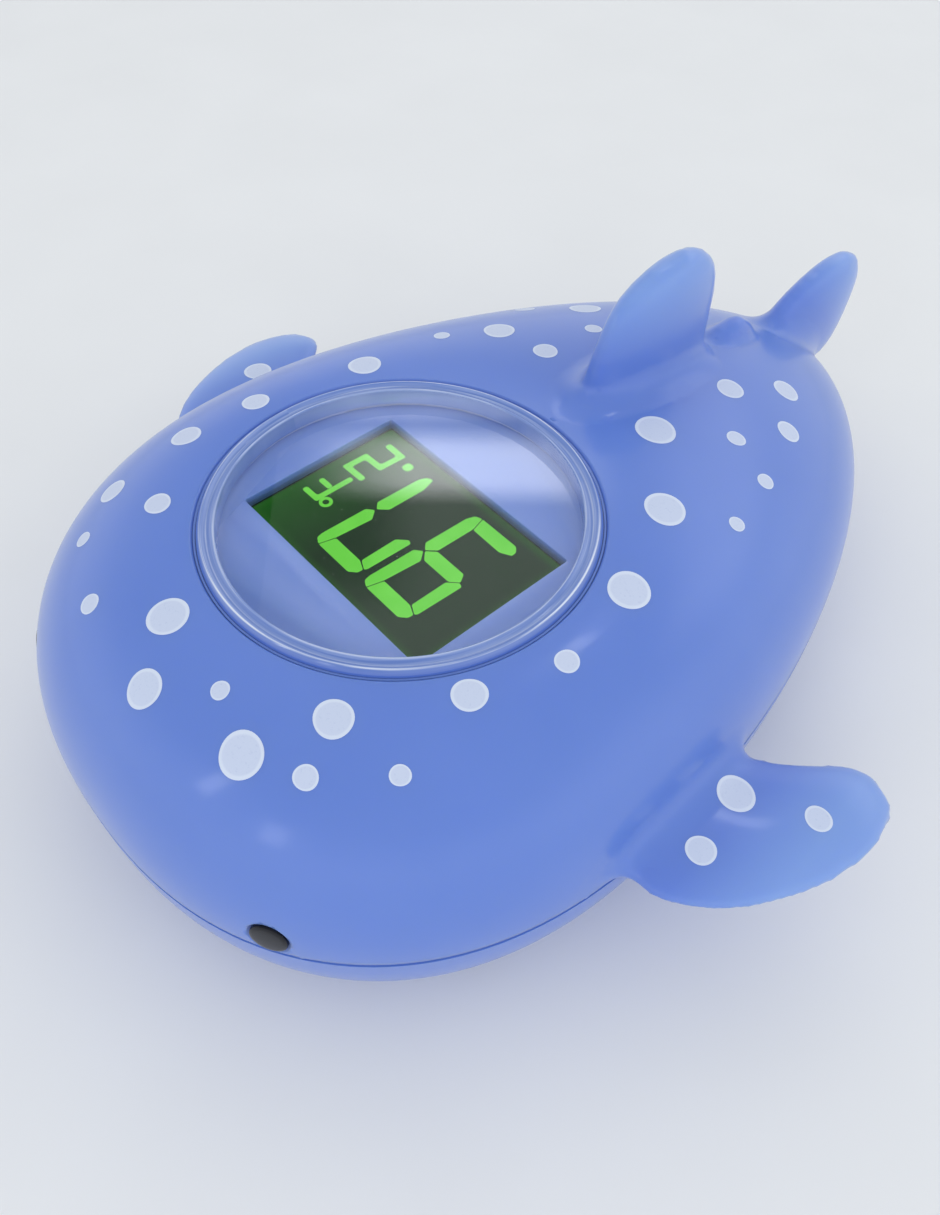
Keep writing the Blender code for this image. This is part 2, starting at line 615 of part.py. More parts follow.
def make_display(finishes):
    """The stack that hangs under the window: panel, light guide, contact strips and frame."""
    middle = (0, LENS_Y)
    panel = centred_block("lcd_panel", PANEL_SIZE, PANEL_BOTTOM_Z, PANEL_TOP_Z, middle)
    finish_object(panel, finishes["display"])
    guide_low = BOARD_TOP_Z + CLEAR
    guide = centred_block("light_guide", GUIDE_SIZE, guide_low, GUIDE_TOP_Z, middle)
    finish_object(guide, finishes["diffuser"])
    strip_y = GUIDE_SIZE[1] / 2 + CLEAR + ZEBRA_WIDTH / 2
    strip_size = (PANEL_SIZE[0] - STRIP_SHORTENING, ZEBRA_WIDTH)
    for label, side in (("front", -1), ("rear", 1)):
        strip = centred_block("contact_strip_" + label, strip_size, guide_low, GUIDE_TOP_Z,
                              (0, LENS_Y + side * strip_y))
        finish_object(strip, finishes["rubber"])
    led_x = GUIDE_SIZE[0] / 2 + CLEAR + LED_SIZE[0] / 2
    for label, side in (("left", 1), ("right", -1)):
        led = centred_block("backlight_led_" + label, LED_SIZE[:2], guide_low, guide_low + LED_SIZE[2],
                            (side * led_x, LENS_Y))
        finish_object(led, finishes["led"])
    frame = centred_block("display_frame", FRAME_OUTER, guide_low, PANEL_TOP_Z, middle)
    below, above = guide_low - OVERSHOOT, PANEL_TOP_Z + OVERSHOOT
    cut(frame, centred_block("frame_tool", FRAME_INNER, below, above, middle))
    for place in board_screws():
        cut(frame, cylinder("notch_tool", BOARD_BOSS_RADIUS + CLEAR, below, above, place))
    finish_object(frame, finishes["frame"])


def make_board(finishes):
    """The circuit board with its chip and crystal, and the screws that hold it."""
    board = centred_block("main_board", BOARD_SIZE, BOARD_BOTTOM_Z, BOARD_TOP_Z, (0, LENS_Y))
    below, above = BOARD_BOTTOM_Z - OVERSHOOT, BOARD_TOP_Z + OVERSHOOT
    for place in board_screws():
        cut(board, cylinder("hole_tool", BOARD_SCREW["shank"] + CLEAR, below, above, place, FINE_SIDES))
    finish_object(board, finishes["board"])
    top = BOARD_BOTTOM_Z - CLEAR
    drop = [(CHIP_RADIUS * cos(a), top - CHIP_HEIGHT * sin(a)) for a in (0, 0.35, 0.7, 1.1, 1.45)]
    finish_object(turned("controller_chip", drop, (0, LENS_Y)), finishes["chip"])
    angles = [tau * k / FINE_SIDES for k in range(FINE_SIDES)]
    can_y, can_z = LENS_Y + CRYSTAL_SHIFT, top - CRYSTAL_RADIUS
    ends = [[(x, can_y + CRYSTAL_RADIUS * cos(a), can_z + CRYSTAL_RADIUS * sin(a)) for a in angles]
            for x in (-CRYSTAL_LENGTH / 2, CRYSTAL_LENGTH / 2)]
    finish_object(loft("crystal_can", ends), finishes["steel"])
    for number, place in enumerate(board_screws(), 1):
        low = BOARD_BOTTOM_Z - CLEAR - BOARD_SCREW["head_height"]
        make_screw("board_screw_%d" % number, BOARD_SCREW, finishes["steel"], place, low)


def make_battery_bay(finishes):
    """The coin cell with its two contacts, and the sealed door with its screws."""
    bay = (0, BAY_Y)
    bevel = 0.3
    profile = [(CELL_RADIUS - bevel, DOOR_RECESS_Z), (CELL_RADIUS, DOOR_RECESS_Z + bevel),
               (CELL_RADIUS, CELL_TOP_Z - 3 * bevel), (CELL_RADIUS - 3 * bevel, CELL_TOP_Z - 2 * bevel),
               (CELL_RADIUS - 3 * bevel, CELL_TOP_Z)]
    finish_object(turned("battery_cell", profile, bay, LARGE_SIDES), finishes["steel"])
    half = CONTACT_THICKNESS / 2
    minus_top = MINUS_CONTACT_Z + CONTACT_THICKNESS
    minus = cylinder("contact_minus", MINUS_CONTACT_RADIUS, MINUS_CONTACT_Z, minus_top, bay)
    join(minus, block("tab_tool", (-CONTACT_WIDTH / 2, BAY_Y - half, MINUS_CONTACT_Z + half),
                      (CONTACT_WIDTH / 2, BAY_Y + half, CONTACT_TAB_TOP)))
    finish_object(minus, finishes["brass"])
    plus_x = CELL_RADIUS + CLEAR
    plus = block("contact_plus", (plus_x, BAY_Y - CONTACT_WIDTH / 2, DOOR_RECESS_Z + CLEAR),
                 (plus_x + CONTACT_THICKNESS, BAY_Y + CONTACT_WIDTH / 2, CONTACT_TAB_TOP))
    finish_object(plus, finishes["brass"])
    door = stadium("battery_door", DOOR_HALF_WIDTH, DOOR_HALF_LENGTH, DOOR_BOTTOM_Z, DOOR_TOP_Z, bay)
    seat = DOOR_BOTTOM_Z + DOOR_SCREW["head_height"] + CLEAR
    for number, place in enumerate(door_screws(), 1):
        cut(door, cylinder("counterbore_tool", DOOR_SCREW["head"] + CLEAR, -OVERSHOOT, seat, place))
        cut(door, cylinder("bore_tool", DOOR_SCREW["shank"] + CLEAR, 0, DOOR_RECESS_Z, place, FINE_SIDES))
        make_screw("door_screw_%d" % number, DOOR_SCREW, finishes["steel"], place, DOOR_BOTTOM_Z)
    finish_object(door, finishes["body"])
    gasket = washer("door_gasket", DOOR_GASKET_RADIUS - DOOR_GASKET_WIDTH / 2,
                    DOOR_GASKET_RADIUS + DOOR_GASKET_WIDTH / 2,
                    DOOR_RECESS_Z, DOOR_RECESS_Z + DOOR_GASKET_HEIGHT, bay, LARGE_SIDES)
    finish_object(gasket, finishes["rubber"])


def make_sensor(finishes):
    """The steel cap in the belly with its flange and seal, and the thermistor inside it."""
    low = CLEAR
    flange_low = BOSS_TOP_Z + CLEAR + SENSOR_SEAL_HEIGHT + CLEAR
    inner = SENSOR_RADIUS - SENSOR_SKIN
    outer = SENSOR_RADIUS + SENSOR_FLANGE
    floor = low + SENSOR_FLOOR
    flange_high = flange_low + SENSOR_SKIN * 1.5
    top = max(low + SENSOR_HEIGHT, flange_high) + SENSOR_SKIN
    profile = [(AXIS_RADIUS, low), (SENSOR_RADIUS - SENSOR_BEVEL, low), (SENSOR_RADIUS, low + SENSOR_BEVEL),
               (SENSOR_RADIUS, flange_low), (outer, flange_low), (outer, flange_high),
               (SENSOR_RADIUS, flange_high), (SENSOR_RADIUS, top), (inner, top), (inner, floor),
               (AXIS_RADIUS, floor)]
    cap = turned("sensor_cap", profile, (0, SENSOR_Y))
    finish_object(cap, finishes["steel"])
    seal = washer("sensor_seal", SENSOR_RADIUS + CLEAR, outer, BOSS_TOP_Z + CLEAR,
                  BOSS_TOP_Z + CLEAR + SENSOR_SEAL_HEIGHT, (0, SENSOR_Y))
    finish_object(seal, finishes["rubber"])
    bead_low = floor + CLEAR
    bead_high = bead_low + THERMISTOR_LENGTH
    bead = [(THERMISTOR_RADIUS * 0.4, bead_low), (THERMISTOR_RADIUS * 0.9, bead_low + 0.4),
            (THERMISTOR_RADIUS, bead_low + 0.9), (THERMISTOR_RADIUS * 0.8, bead_high - 0.6),
            (THERMISTOR_RADIUS * 0.4, bead_high)]
    finish_object(turned("thermistor", bead, (0, SENSOR_Y), FINE_SIDES), finishes["chip"])
    head_top = low + STUD_HEAD_HEIGHT
    stud_profile = [(STUD_HEAD_RADIUS * 0.5, low), (STUD_HEAD_RADIUS, low + STUD_HEAD_HEIGHT * 0.6),
                    (STUD_HEAD_RADIUS, head_top), (STUD_RADIUS, head_top), (STUD_RADIUS, low + STUD_LENGTH)]
    for label, place in zip(("left", "right"), studs()):
        stud = turned("water_contact_" + label, stud_profile, place)
        finish_object(stud, finishes["steel"])
    return bead_high


def make_wire(name, route, finish):
    """An insulated wire along a smooth route."""
    path = smooth_path(route, WIRE_POINTS)
    curve = bpy.data.curves.new(name, 'CURVE')
    curve.dimensions = '3D'
    curve.bevel_depth = WIRE_RADIUS * MM
    curve.bevel_resolution = 2
    curve.use_fill_caps = True
    spline = curve.splines.new('POLY')
    spline.points.add(len(path) - 1)
    for slot, point in zip(spline.points, path):
        slot.co = (*(point * MM), 1.0)
    obj = bpy.data.objects.new(name, curve)
    bpy.context.collection.objects.link(obj)
    curve.materials.append(finish)
    return obj


def make_wires(finishes, bead_top):
    """The wires from the board down to the sensor, the water contacts and the battery."""
    top = BOARD_BOTTOM_Z - CLEAR
    plus_x = CELL_RADIUS + CLEAR + CONTACT_THICKNESS / 2
    tab = CONTACT_TAB_TOP + CLEAR
    stud_top = CLEAR + STUD_LENGTH + CLEAR
    routes = {
        "battery_wire_red": ("red", (plus_x, BAY_Y, tab), RED_WIRE_PAD),
        "battery_wire_black": ("chip", (0.0, BAY_Y, tab), BLACK_WIRE_PAD),
        "sensor_wire": ("frame", (0.0, SENSOR_Y, bead_top + CLEAR), SENSOR_WIRE_PAD),
    }
    for label, side in (("left", 1), ("right", -1)):
        routes["contact_wire_" + label] = ("frame", (side * STUD_PLACE[0], STUD_Y, stud_top),
                                           (side * CONTACT_WIRE_PAD[0], CONTACT_WIRE_PAD[1]))
    rise = np.array([0.0, 0.0, WIRE_RISE])
    for name, (finish, start, pad) in routes.items():
        start, end = np.array(start), np.array((pad[0], LENS_Y + pad[1], top))
        middle = (start + end) / 2 + (end - start) * np.array([0.1, 0.1, 0.0])
        make_wire(name, [start, start + rise, middle, end - rise, end], finishes[finish])


def main():
    for obj in list(bpy.data.objects):
        bpy.data.objects.remove(obj, do_unlink=True)
    finishes = {
        "body": material("body_blue", (0.16, 0.27, 0.66), 0.22),
        "clear": material("clear_plastic", (0.9, 0.93, 0.97), 0.05, transmission=0.9),
        "display": material("display_glass", (0.03, 0.09, 0.05), 0.15),
        "diffuser": material("diffuser", (0.85, 0.9, 0.85), 0.4),
        "frame": material("white_plastic", (0.85, 0.85, 0.85), 0.4),
        "rubber": material("grey_rubber", (0.25, 0.26, 0.28), 0.7),
        "board": material("board_green", (0.02, 0.2, 0.07), 0.5),
        "chip": material("black_resin", (0.015, 0.015, 0.02), 0.35),
        "led": material("led_body", (0.8, 0.9, 0.5), 0.3),
        "steel": material("stainless", (0.6, 0.6, 0.62), 0.25, 1.0),
        "brass": material("nickel_brass", (0.65, 0.58, 0.4), 0.3, 1.0),
        "red": material("red_insulation", (0.6, 0.03, 0.03), 0.4),
        "eye": material("eye_black", (0.01, 0.01, 0.012), 0.1),
    }
    make_upper_shell(finishes["body"])
    make_lower_shell(finishes["body"])
    seal = body_band("shell_seal", SEAL_INSET + SEAL_WIDTH, SEAL_INSET, LOWER_EDGE_Z - SEAL_HEIGHT,
                     LOWER_EDGE_Z)
    finish_object(seal, finishes["rubber"])
    make_lens(finishes["clear"])
    gasket = washer("lens_gasket", LENS_RADIUS - LENS_GASKET_WIDTH, LENS_RADIUS, LENS_GASKET_Z,
                    LENS_GASKET_Z + LENS_GASKET_HEIGHT, (0, LENS_Y), 48)
    finish_object(gasket, finishes["rubber"])
    for label, side in (("left", 1), ("right", -1)):
        eye = disc_on_dome("eye_" + label, side, EYE_RADIUS, -EYE_DEPTH, 0.0, EYE_CROWN)
        finish_object(eye, finishes["eye"])
    make_display(finishes)
    make_board(finishes)
    make_battery_bay(finishes)
    bead_top = make_sensor(finishes)
    make_wires(finishes, bead_top)
    for number, place in enumerate(case_columns(), 1):
        head_low = PARTING_Z - CASE_SCREW_SEAT - CLEAR - CASE_SCREW["head_height"]
        make_screw("case_screw_%d" % number, CASE_SCREW, finishes["steel"], place, head_low)


main()
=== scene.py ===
"""The looks of a floating baby bath thermometer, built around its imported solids.

Sizes are in millimetres and MM turns them into metres. The names match the part's own source.
"""

import json
from math import cos, pi, radians, sin, tau

import bmesh
import bpy
import numpy as np
from mathutils import Matrix, Vector
from mathutils.bvhtree import BVHTree
from mathutils.interpolate import poly_3d_calc


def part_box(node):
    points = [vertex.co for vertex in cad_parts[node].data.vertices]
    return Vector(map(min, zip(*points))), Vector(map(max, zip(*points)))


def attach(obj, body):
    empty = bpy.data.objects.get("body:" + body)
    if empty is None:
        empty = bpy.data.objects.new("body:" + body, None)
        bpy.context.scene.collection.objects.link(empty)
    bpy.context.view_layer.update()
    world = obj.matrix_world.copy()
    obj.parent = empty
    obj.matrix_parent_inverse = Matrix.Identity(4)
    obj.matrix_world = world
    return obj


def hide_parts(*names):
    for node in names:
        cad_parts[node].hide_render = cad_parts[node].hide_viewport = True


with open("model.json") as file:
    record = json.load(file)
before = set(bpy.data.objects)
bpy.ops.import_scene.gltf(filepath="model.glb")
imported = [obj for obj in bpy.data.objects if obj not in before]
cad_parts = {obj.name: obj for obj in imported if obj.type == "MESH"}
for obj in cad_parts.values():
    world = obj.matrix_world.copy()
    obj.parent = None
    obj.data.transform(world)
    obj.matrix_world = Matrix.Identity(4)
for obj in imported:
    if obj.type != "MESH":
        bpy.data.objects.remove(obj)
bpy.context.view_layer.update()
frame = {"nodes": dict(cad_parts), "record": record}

MM = 0.001


def low_z(node):
    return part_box(node)[0].z / MM


def high_z(node):
    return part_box(node)[1].z / MM


def axis_of(node):
    """Where an upright piece's axis stands, seen from above."""
    low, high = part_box(node)
    return (low.x + high.x) / 2 / MM, (low.y + high.y) / 2 / MM


def radius_of(node):
    low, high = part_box(node)
    return (high.x - low.x) / 2 / MM


# Form of the float, as the part has it; the display window's places are for the look only
HEAD_REACH = 43.2
BODY_TAIL_REACH = 78.9
BODY_HALF_WIDTH = 41.8
WIDEST_BEFORE_LENS = 0.5
HEAD_POWER = 2.3
TAIL_POWER = 1.8
DOME_POWER = 2.07
WALL = 2.2
LENS_LIP = 0.5
RIM_WIDTH = 5.2
RIM_HEIGHT = 2.6
CLEAR = 0.3
POCKET_WALL = 2.2
POCKET_FLOOR = 1.5
LENS_GASKET_HEIGHT = 0.4
LENS_PROUD = 0.5
WINDOW_SIZE = (31.2, 21.6)
WINDOW_CORNER = 0.4
WINDOW_INSET = 0.12
WINDOW_DROP = 0.12
WINDOW_MIDDLE = (0.25, -0.15)
WINDOW_GROWTH = 0.25
BASE_POWER = 2.3
FLAT_SHARE = 0.56
BAY_SHIFT = 14.0
DOOR_HALF_WIDTH = 15.6
DOOR_HALF_LENGTH = 23.0
CASE_COLUMN_RADIUS = 3.4
CASE_PILOT_RADIUS = 1.55
CASE_PILOT_DEPTH = 5.5
CASE_SCREW_HEAD = 2.0
BOARD_BOSS_RADIUS = 2.6
BOARD_PILOT_RADIUS = 1.2
BOARD_PILOT_DEPTH = 3.0
SENSOR_RADIUS = 3.4
STUD_RADIUS = 1.5
STUD_HEAD_RADIUS = 2.6
STUD_HEAD_HEIGHT = 1.0
EYE_ANGLE = 33.0
EYE_HEIGHT = 2.7
EYE_RADIUS = 2.1
EYE_DEPTH = 1.3
EYE_CROWN = 0.2
PECTORAL_LIFT = 0.1
DORSAL = dict(
    lead=[(25.2, -3.0), (28.6, 0.8), (30.6, 6.5), (33.2, 11.3), (38.5, 13.9), (43.5, 14.5)],
    trail=[(54.5, -5.5), (51.8, -1.6), (51.7, 3.5), (51.6, 8.0), (50.3, 11.6), (47.8, 13.7)],
    half=[5.0, 3.5, 3.0, 2.7, 2.1, 1.1])
SECOND_DORSAL = dict(
    lead=[(50.6, -6.0), (52.5, -3.8), (55.0, -2.2), (57.8, -1.6)],
    trail=[(66.0, -9.5), (64.2, -6.4), (63.2, -3.9), (61.2, -2.1)],
    half=[2.8, 2.2, 1.8, 1.0])
TAIL_FIN = dict(
    lead=[(61.5, -9.5), (67.0, -7.2), (70.8, -4.4), (75.4, -2.6), (80.5, -1.6), (85.0, -1.7)],
    trail=[(79.0, -18.8), (86.0, -18.8), (88.8, -15.4), (89.7, -11.0), (89.8, -7.0), (88.6, -4.0)],
    half=[4.4, 3.2, 2.8, 2.5, 2.0, 1.1])
PECTORAL = dict(
    lead=[(35.0, -11.0), (42.3, -6.6), (47.8, -4.6), (53.2, 0.8), (56.9, 8.9), (58.0, 16.0),
          (57.2, 21.0)],
    trail=[(35.0, 17.5), (41.2, 15.5), (45.0, 17.5), (47.8, 20.6), (50.3, 23.2), (52.8, 24.1),
           (55.4, 23.4)],
    half=[2.0, 2.0, 1.95, 1.85, 1.6, 1.2, 0.7])

# Places read from the frame
LENS_LOW, LENS_HIGH = [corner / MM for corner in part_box("lens")]
LENS_RADIUS = (LENS_HIGH.x - LENS_LOW.x) / 2
LENS_Y = (LENS_HIGH.y + LENS_LOW.y) / 2
LENS_TOP_Z = LENS_HIGH.z
LENS_BOTTOM_Z = LENS_LOW.z
RING_Z = LENS_TOP_Z - LENS_PROUD
POCKET_RADIUS = LENS_RADIUS + CLEAR
DOME_RADIUS = POCKET_RADIUS + LENS_LIP
UPPER_EDGE_Z = low_z("upper_shell")
POCKET_FLOOR_Z = LENS_BOTTOM_Z - 2 * CLEAR - LENS_GASKET_HEIGHT
FLOOR_UNDER_Z = POCKET_FLOOR_Z - POCKET_FLOOR
PANEL_TOP_Z = (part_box("lcd_panel")[1] / MM).z
BOARD_TOP_Z = high_z("main_board")
CASE_COLUMNS = [axis_of("case_screw_%d" % k) for k in (1, 2, 3, 4)]
BOARD_SCREWS = [axis_of("board_screw_%d" % k) for k in (1, 2, 3, 4)]

# Fineness of the modelled skins
SKIN_SPOKES = 220
SKIN_STEPS = 44
HOLLOW_SPOKES = 60
ROUND_SIDES = 160
FINE_SIDES = 48
FIN_STATIONS = 44
FIN_SIDES = 40
TIP_REACH = 0.3             # how far a fin's round tip reaches, as a share of its half thickness
TIP_TURNS = (0.3, 0.6, 0.9, 1.15, 1.35)
VOXEL = 0.55
SHARP_ANGLE = 38.0

# Softening of the moulding where its fins grow out of the dome
FILLET_REACH = 3.4
SMALL_FILLET_REACH = 0.8    # the same at the second dorsal fin
SMALL_FILLET_SPAN = (2.0, 6.0)
FILLET_START = 0.3
FILLET_PACE = 0.6
FILLET_ROUNDS = 70
PARTING_KEEP = 0.45         # a strip at the parting line that is left as it is
EDGE_BEND = 0.06
EDGE_PACE = 0.5
EDGE_ROUNDS = 14
ON_SURFACE = 0.02           # up to here a point takes the exact surface's normal
SAME_FACE = 0.9
# Fins are painted palest at this length, for light showing through the thin plastic.
FIN_LENGTH = 13.0           # from the dome to where a fin is palest

# The lens's pieces
RIM_INNER_RADIUS = 20.6
DISC_DROP = 0.22
GAP_RING_PLAY = 0.03
GAP_RING_DROP = 0.3
GAP_RING_HEIGHT = 1.0
CLEAR_IOR = 1.12            # low, so that the display shows where the photograph has it
ACRYLIC_IOR = 1.49

# Painted highlight lines round the rim: radius, half width and strength
RIM_HIGHLIGHT_LINES = [(22.22, 0.13, 1.0), (20.8, 0.2, 0.45), (21.6, 0.1, 0.35)]

# The photograph's camera, about the middle of the lens ring
CAMERA_AZIMUTH = 47.97
CAMERA_ELEVATION = 50.92
CAMERA_ROLL = -0.80
CAMERA_DISTANCE = 114.2
CAMERA_RIGHT = 7.77
CAMERA_UP = -10.89
CAMERA_LENS = 30.13
CAMERA_SENSOR = 36.0

# What glossy surfaces see: brightness of the sky, and soft windows given by azimuth from the nose
# towards the left side, elevation, half width, half height, all in degrees, and brightness
SKY_COLOR = (0.96, 0.98, 1.0)
SKY_STRENGTH = 0.83
SKY_HORIZON = 0.95
SKY_ZENITH = 0.45
SKY_SOFTNESS = 0.55
SKY_WINDOWS = [(227.3, 43.0, 7.0, 1.5, 2.9), (12.0, 27.0, 3.5, 6.0, 2.4), (347.0, 33.0, 2.0, 8.0, 4.0),
               (196.0, 59.0, 4.0, 1.6, 5.0), (240.5, 45.5, 4.4, 4.5, -0.42), (230.0, 39.7, 7.0, 0.7, 1.2),
               (179.0, 34.0, 22.0, 8.0, 0.9)]
FLOOR_REACH = 2000          # half the length of the floor's side

# Printed spots on the dome: sideways from the middle, behind the lens axis, radius
SPOTS = [
    (13.6, -30.6, 2.36), (17.1, -22.1, 2.06), (19.6, -27.4, 1.27), (25.4, -20.7, 1.06), (23.7, -10.6, 1.84),
    (27, -0.5, 1.33), (24.7, 11, 2.42), (19.1, 23, 2.45), (9.3, 32.3, 2.5), (15.8, 40.2, 1.25),
    (25, 29.2, 1.03), (22.3, 38.2, 1.15), (9, 47.4, 1.88), (17.9, 48.9, 1.68), (12.4, 55.7, 1.87),
    (-27.5, -11.2, 1.91), (-26.7, -1.6, 1.7), (-23.6, 13.1, 2.1), (-23, 25.6, 1.1), (-18.9, 32.3, 2.15),
    (-10.8, 33.1, 1.65), (-11.1, 42.6, 1.18), (-17.3, 47.6, 2.2), (-23.5, 41.7, 1.4), (-9.5, 57.5, 1.8),
    (-26.9, -22, 1.78), (-19.1, -19.9, 1.58), (-23, -28.1, 1.05), (-13.3, -32.3, 1.25),
    (-4.2, -27.5, 2.28), (0.6, -33.6, 2.1), (7, -28.4, 1.02)]
FIN_SPOTS = [(44.5, 9.3, 2.16), (52.1, 13.8, 1.5), (46.3, 1.5, 1.62), (-49.1, 11.1, 2.0)]
SPOT_LIFT = 0.03
SPOT_SINK = 0.12
SPOT_SEARCH = 4             # how far above the surface the search for it starts
SPOT_RINGS = 5
SPOT_SIDES = 40

# Digits on the display: cell size, stroke width, slant, and each digit's lower left corner
DIGIT_WIDTH = 7.8
DIGIT_HEIGHT = 16.7
STROKE = 1.8
SLANT = 0.035
NINE_AT = (-10.5, -8.6)
SEVEN_AT = (-1.75, -8.45)
READING_SHIFT = (0.36, -0.34)
SMALL_STROKE = 0.85
UNIT_STROKE = 0.75
DEGREE_AT = (10.1, 3.6)
DEGREE_RADII = (0.42, 0.84)
FACE_INSET = 0.05
FACE_GAP = 0.01
FACE_THICKNESS = 0.1
DIGIT_THICKNESS = 0.04


def object_from(name, points, faces):
    """Make a mesh object from points in millimetres, with its faces turned outwards."""
    mesh = bpy.data.meshes.new(name)
    mesh.from_pydata([(p[0] * MM, p[1] * MM, p[2] * MM) for p in points], [], faces)
    shape = bmesh.new()
    shape.from_mesh(mesh)
    bmesh.ops.recalc_face_normals(shape, faces=shape.faces)
    shape.to_mesh(mesh)
    shape.free()
    obj = bpy.data.objects.new(name, mesh)
    bpy.context.collection.objects.link(obj)
    return obj


def skinned(rings, closed=False):
    """Points and faces of a stack of rings that have equal counts, capped or closed to a band."""
    count = len(rings[0])
    points = [point for ring in rings for point in ring]
    last = count * (len(rings) - 1)
    faces = [] if closed else [list(range(count)), [last + k for k in range(count)]]
    for level in range(len(rings) if closed else len(rings) - 1):
        here = level * count
        there = (level + 1) % len(rings) * count
        for k in range(count):
            after = (k + 1) % count
            faces.append([here + k, here + after, there + after, there + k])
    return points, faces


def joined(pieces):
    """One list of points and one of faces, from several such pairs."""
    points = []
    faces = []
    for more_points, more_faces in pieces:
        base = len(points)
        points += more_points
        faces += [[base + k for k in face] for face in more_faces]
    return points, faces


def meshes_of(objects, unit=1.0):
    """Points and faces of several objects together, with the points counted in a unit."""
    return joined(([v.co / unit for v in obj.data.vertices], [p.vertices for p in obj.data.polygons])
                  for obj in objects)


def loft(name, rings, closed=False):
    return object_from(name, *skinned(rings, closed))


def circle(radius, z, center, sides=ROUND_SIDES):
    """A level ring about a vertical axis."""
    angles = [tau * k / sides for k in range(sides)]
    return [(center[0] + radius * cos(a), center[1] + radius * sin(a), z) for a in angles]


def turned(name, profile, center, sides=ROUND_SIDES, closed=False):
    """Turn a profile of (radius, height) points about a vertical axis."""
    return loft(name, [circle(radius, z, center, sides) for radius, z in profile], closed)


def cylinder(name, radius, low, high, center, sides=24):
    return turned(name, [(radius, low), (radius, high)], center, sides)


def applied(obj, modifier):
    """Replace an object's mesh by what a modifier makes of it."""
    graph = bpy.context.evaluated_depsgraph_get()
    solid = bpy.data.meshes.new_from_object(obj.evaluated_get(graph))
    obj.modifiers.remove(modifier)
    old = obj.data
    obj.data = solid
    bpy.data.meshes.remove(old)
    return obj


def combine(target, operation, *tools):
    """Join or cut a solid with others, which are used up."""
    for tool in tools:
        modifier = target.modifiers.new("combine", 'BOOLEAN')
        modifier.operation = operation
        modifier.solver = 'EXACT'
        modifier.object = tool
        applied(target, modifier)
        bpy.data.objects.remove(tool)
    return target


def outline_radius(angles):
    """Distance from the lens axis to the outline, at angles from the nose."""
    across = np.sin(angles)
    along = -np.cos(angles)
    near = np.zeros_like(angles)
    far = np.full_like(angles, 2 * BODY_TAIL_REACH)
    for _ in range(40):
        middle = (near + far) / 2
        y = middle * along + WIDEST_BEFORE_LENS
        behind = y > 0
        length = np.where(behind, BODY_TAIL_REACH + WIDEST_BEFORE_LENS, HEAD_REACH - WIDEST_BEFORE_LENS)
        power = np.where(behind, TAIL_POWER, HEAD_POWER)
        inside = np.abs(middle * across / BODY_HALF_WIDTH) ** power + np.abs(y / length) ** power < 1
        near = np.where(inside, middle, near)
        far = np.where(inside, far, middle)
    return near


def spoke_angles(count):
    """Angles from the nose that cut the outline into equal lengths, the same on both sides."""
    fine = np.linspace(0, pi, 721)
    radius = outline_radius(fine)
    steps = np.hypot(np.diff(radius * np.sin(fine)), np.diff(radius * np.cos(fine)))
    run = np.concatenate([[0], np.cumsum(steps)])
    half = np.interp(np.linspace(0, run[-1], count // 2 + 1), run, fine)
    return np.concatenate([half, tau - half[-2:0:-1]])


class Body:
    """The float's outline on a number of spokes, and the rings that follow it."""

    def __init__(self, spokes):
        self.angles = spoke_angles(spokes)
        self.outline = outline_radius(self.angles)

    def ring(self, radii, z):
        radii = np.broadcast_to(radii, self.angles.shape)
        return [(r * sin(a), LENS_Y - r * cos(a), z) for r, a in zip(radii, self.angles)]

    def dome(self, inner_radius, inset, top, bottom, steps):
        rings = []
        for turn in np.linspace(0, pi / 2, steps + 1):
            share = sin(turn) ** (2 / DOME_POWER)
            drop = 1 - max(cos(turn), 0.0) ** (2 / DOME_POWER)
            reach = inner_radius + (self.outline - inset - inner_radius) * share
            rings.append(self.ring(reach, top - (top - bottom) * drop))
        return rings


def dome_point(angle, height):
    """A point on the dome and its outward normal, at an angle from the nose and a height."""
    def point(a, z):
        rise = (z - UPPER_EDGE_Z) / (RING_Z - UPPER_EDGE_Z)
        share = (1 - rise ** DOME_POWER) ** (1 / DOME_POWER)
        reach = outline_radius(np.array([a]))[0]
        r = DOME_RADIUS + (reach - DOME_RADIUS) * share
        return Vector((r * sin(a), LENS_Y - r * cos(a), z))
    here = point(angle, height)
    around = point(angle + 0.01, height) - here
    upward = point(angle, height + 0.1) - here
    return here, around.cross(upward).normalized()


def smooth_path(points, count):
    """Points spaced along a Catmull-Rom curve through the given ones."""
    knots = np.array(points, dtype=float)
    if knots.ndim == 1:
        knots = knots[:, None]
    padded = np.vstack([2 * knots[0] - knots[1], knots, 2 * knots[-1] - knots[-2]])
    path = []
    for place in np.linspace(0, len(knots) - 1, count):
        k = min(int(place), len(knots) - 2)
        t = place - k
        a, b, c, d = padded[k:k + 4]
        path.append(0.5 * (2 * b + (c - a) * t + (2 * a - 5 * b + 4 * c - d) * t ** 2
                           + (3 * b - a - 3 * c + d) * t ** 3))
    return np.array(path)


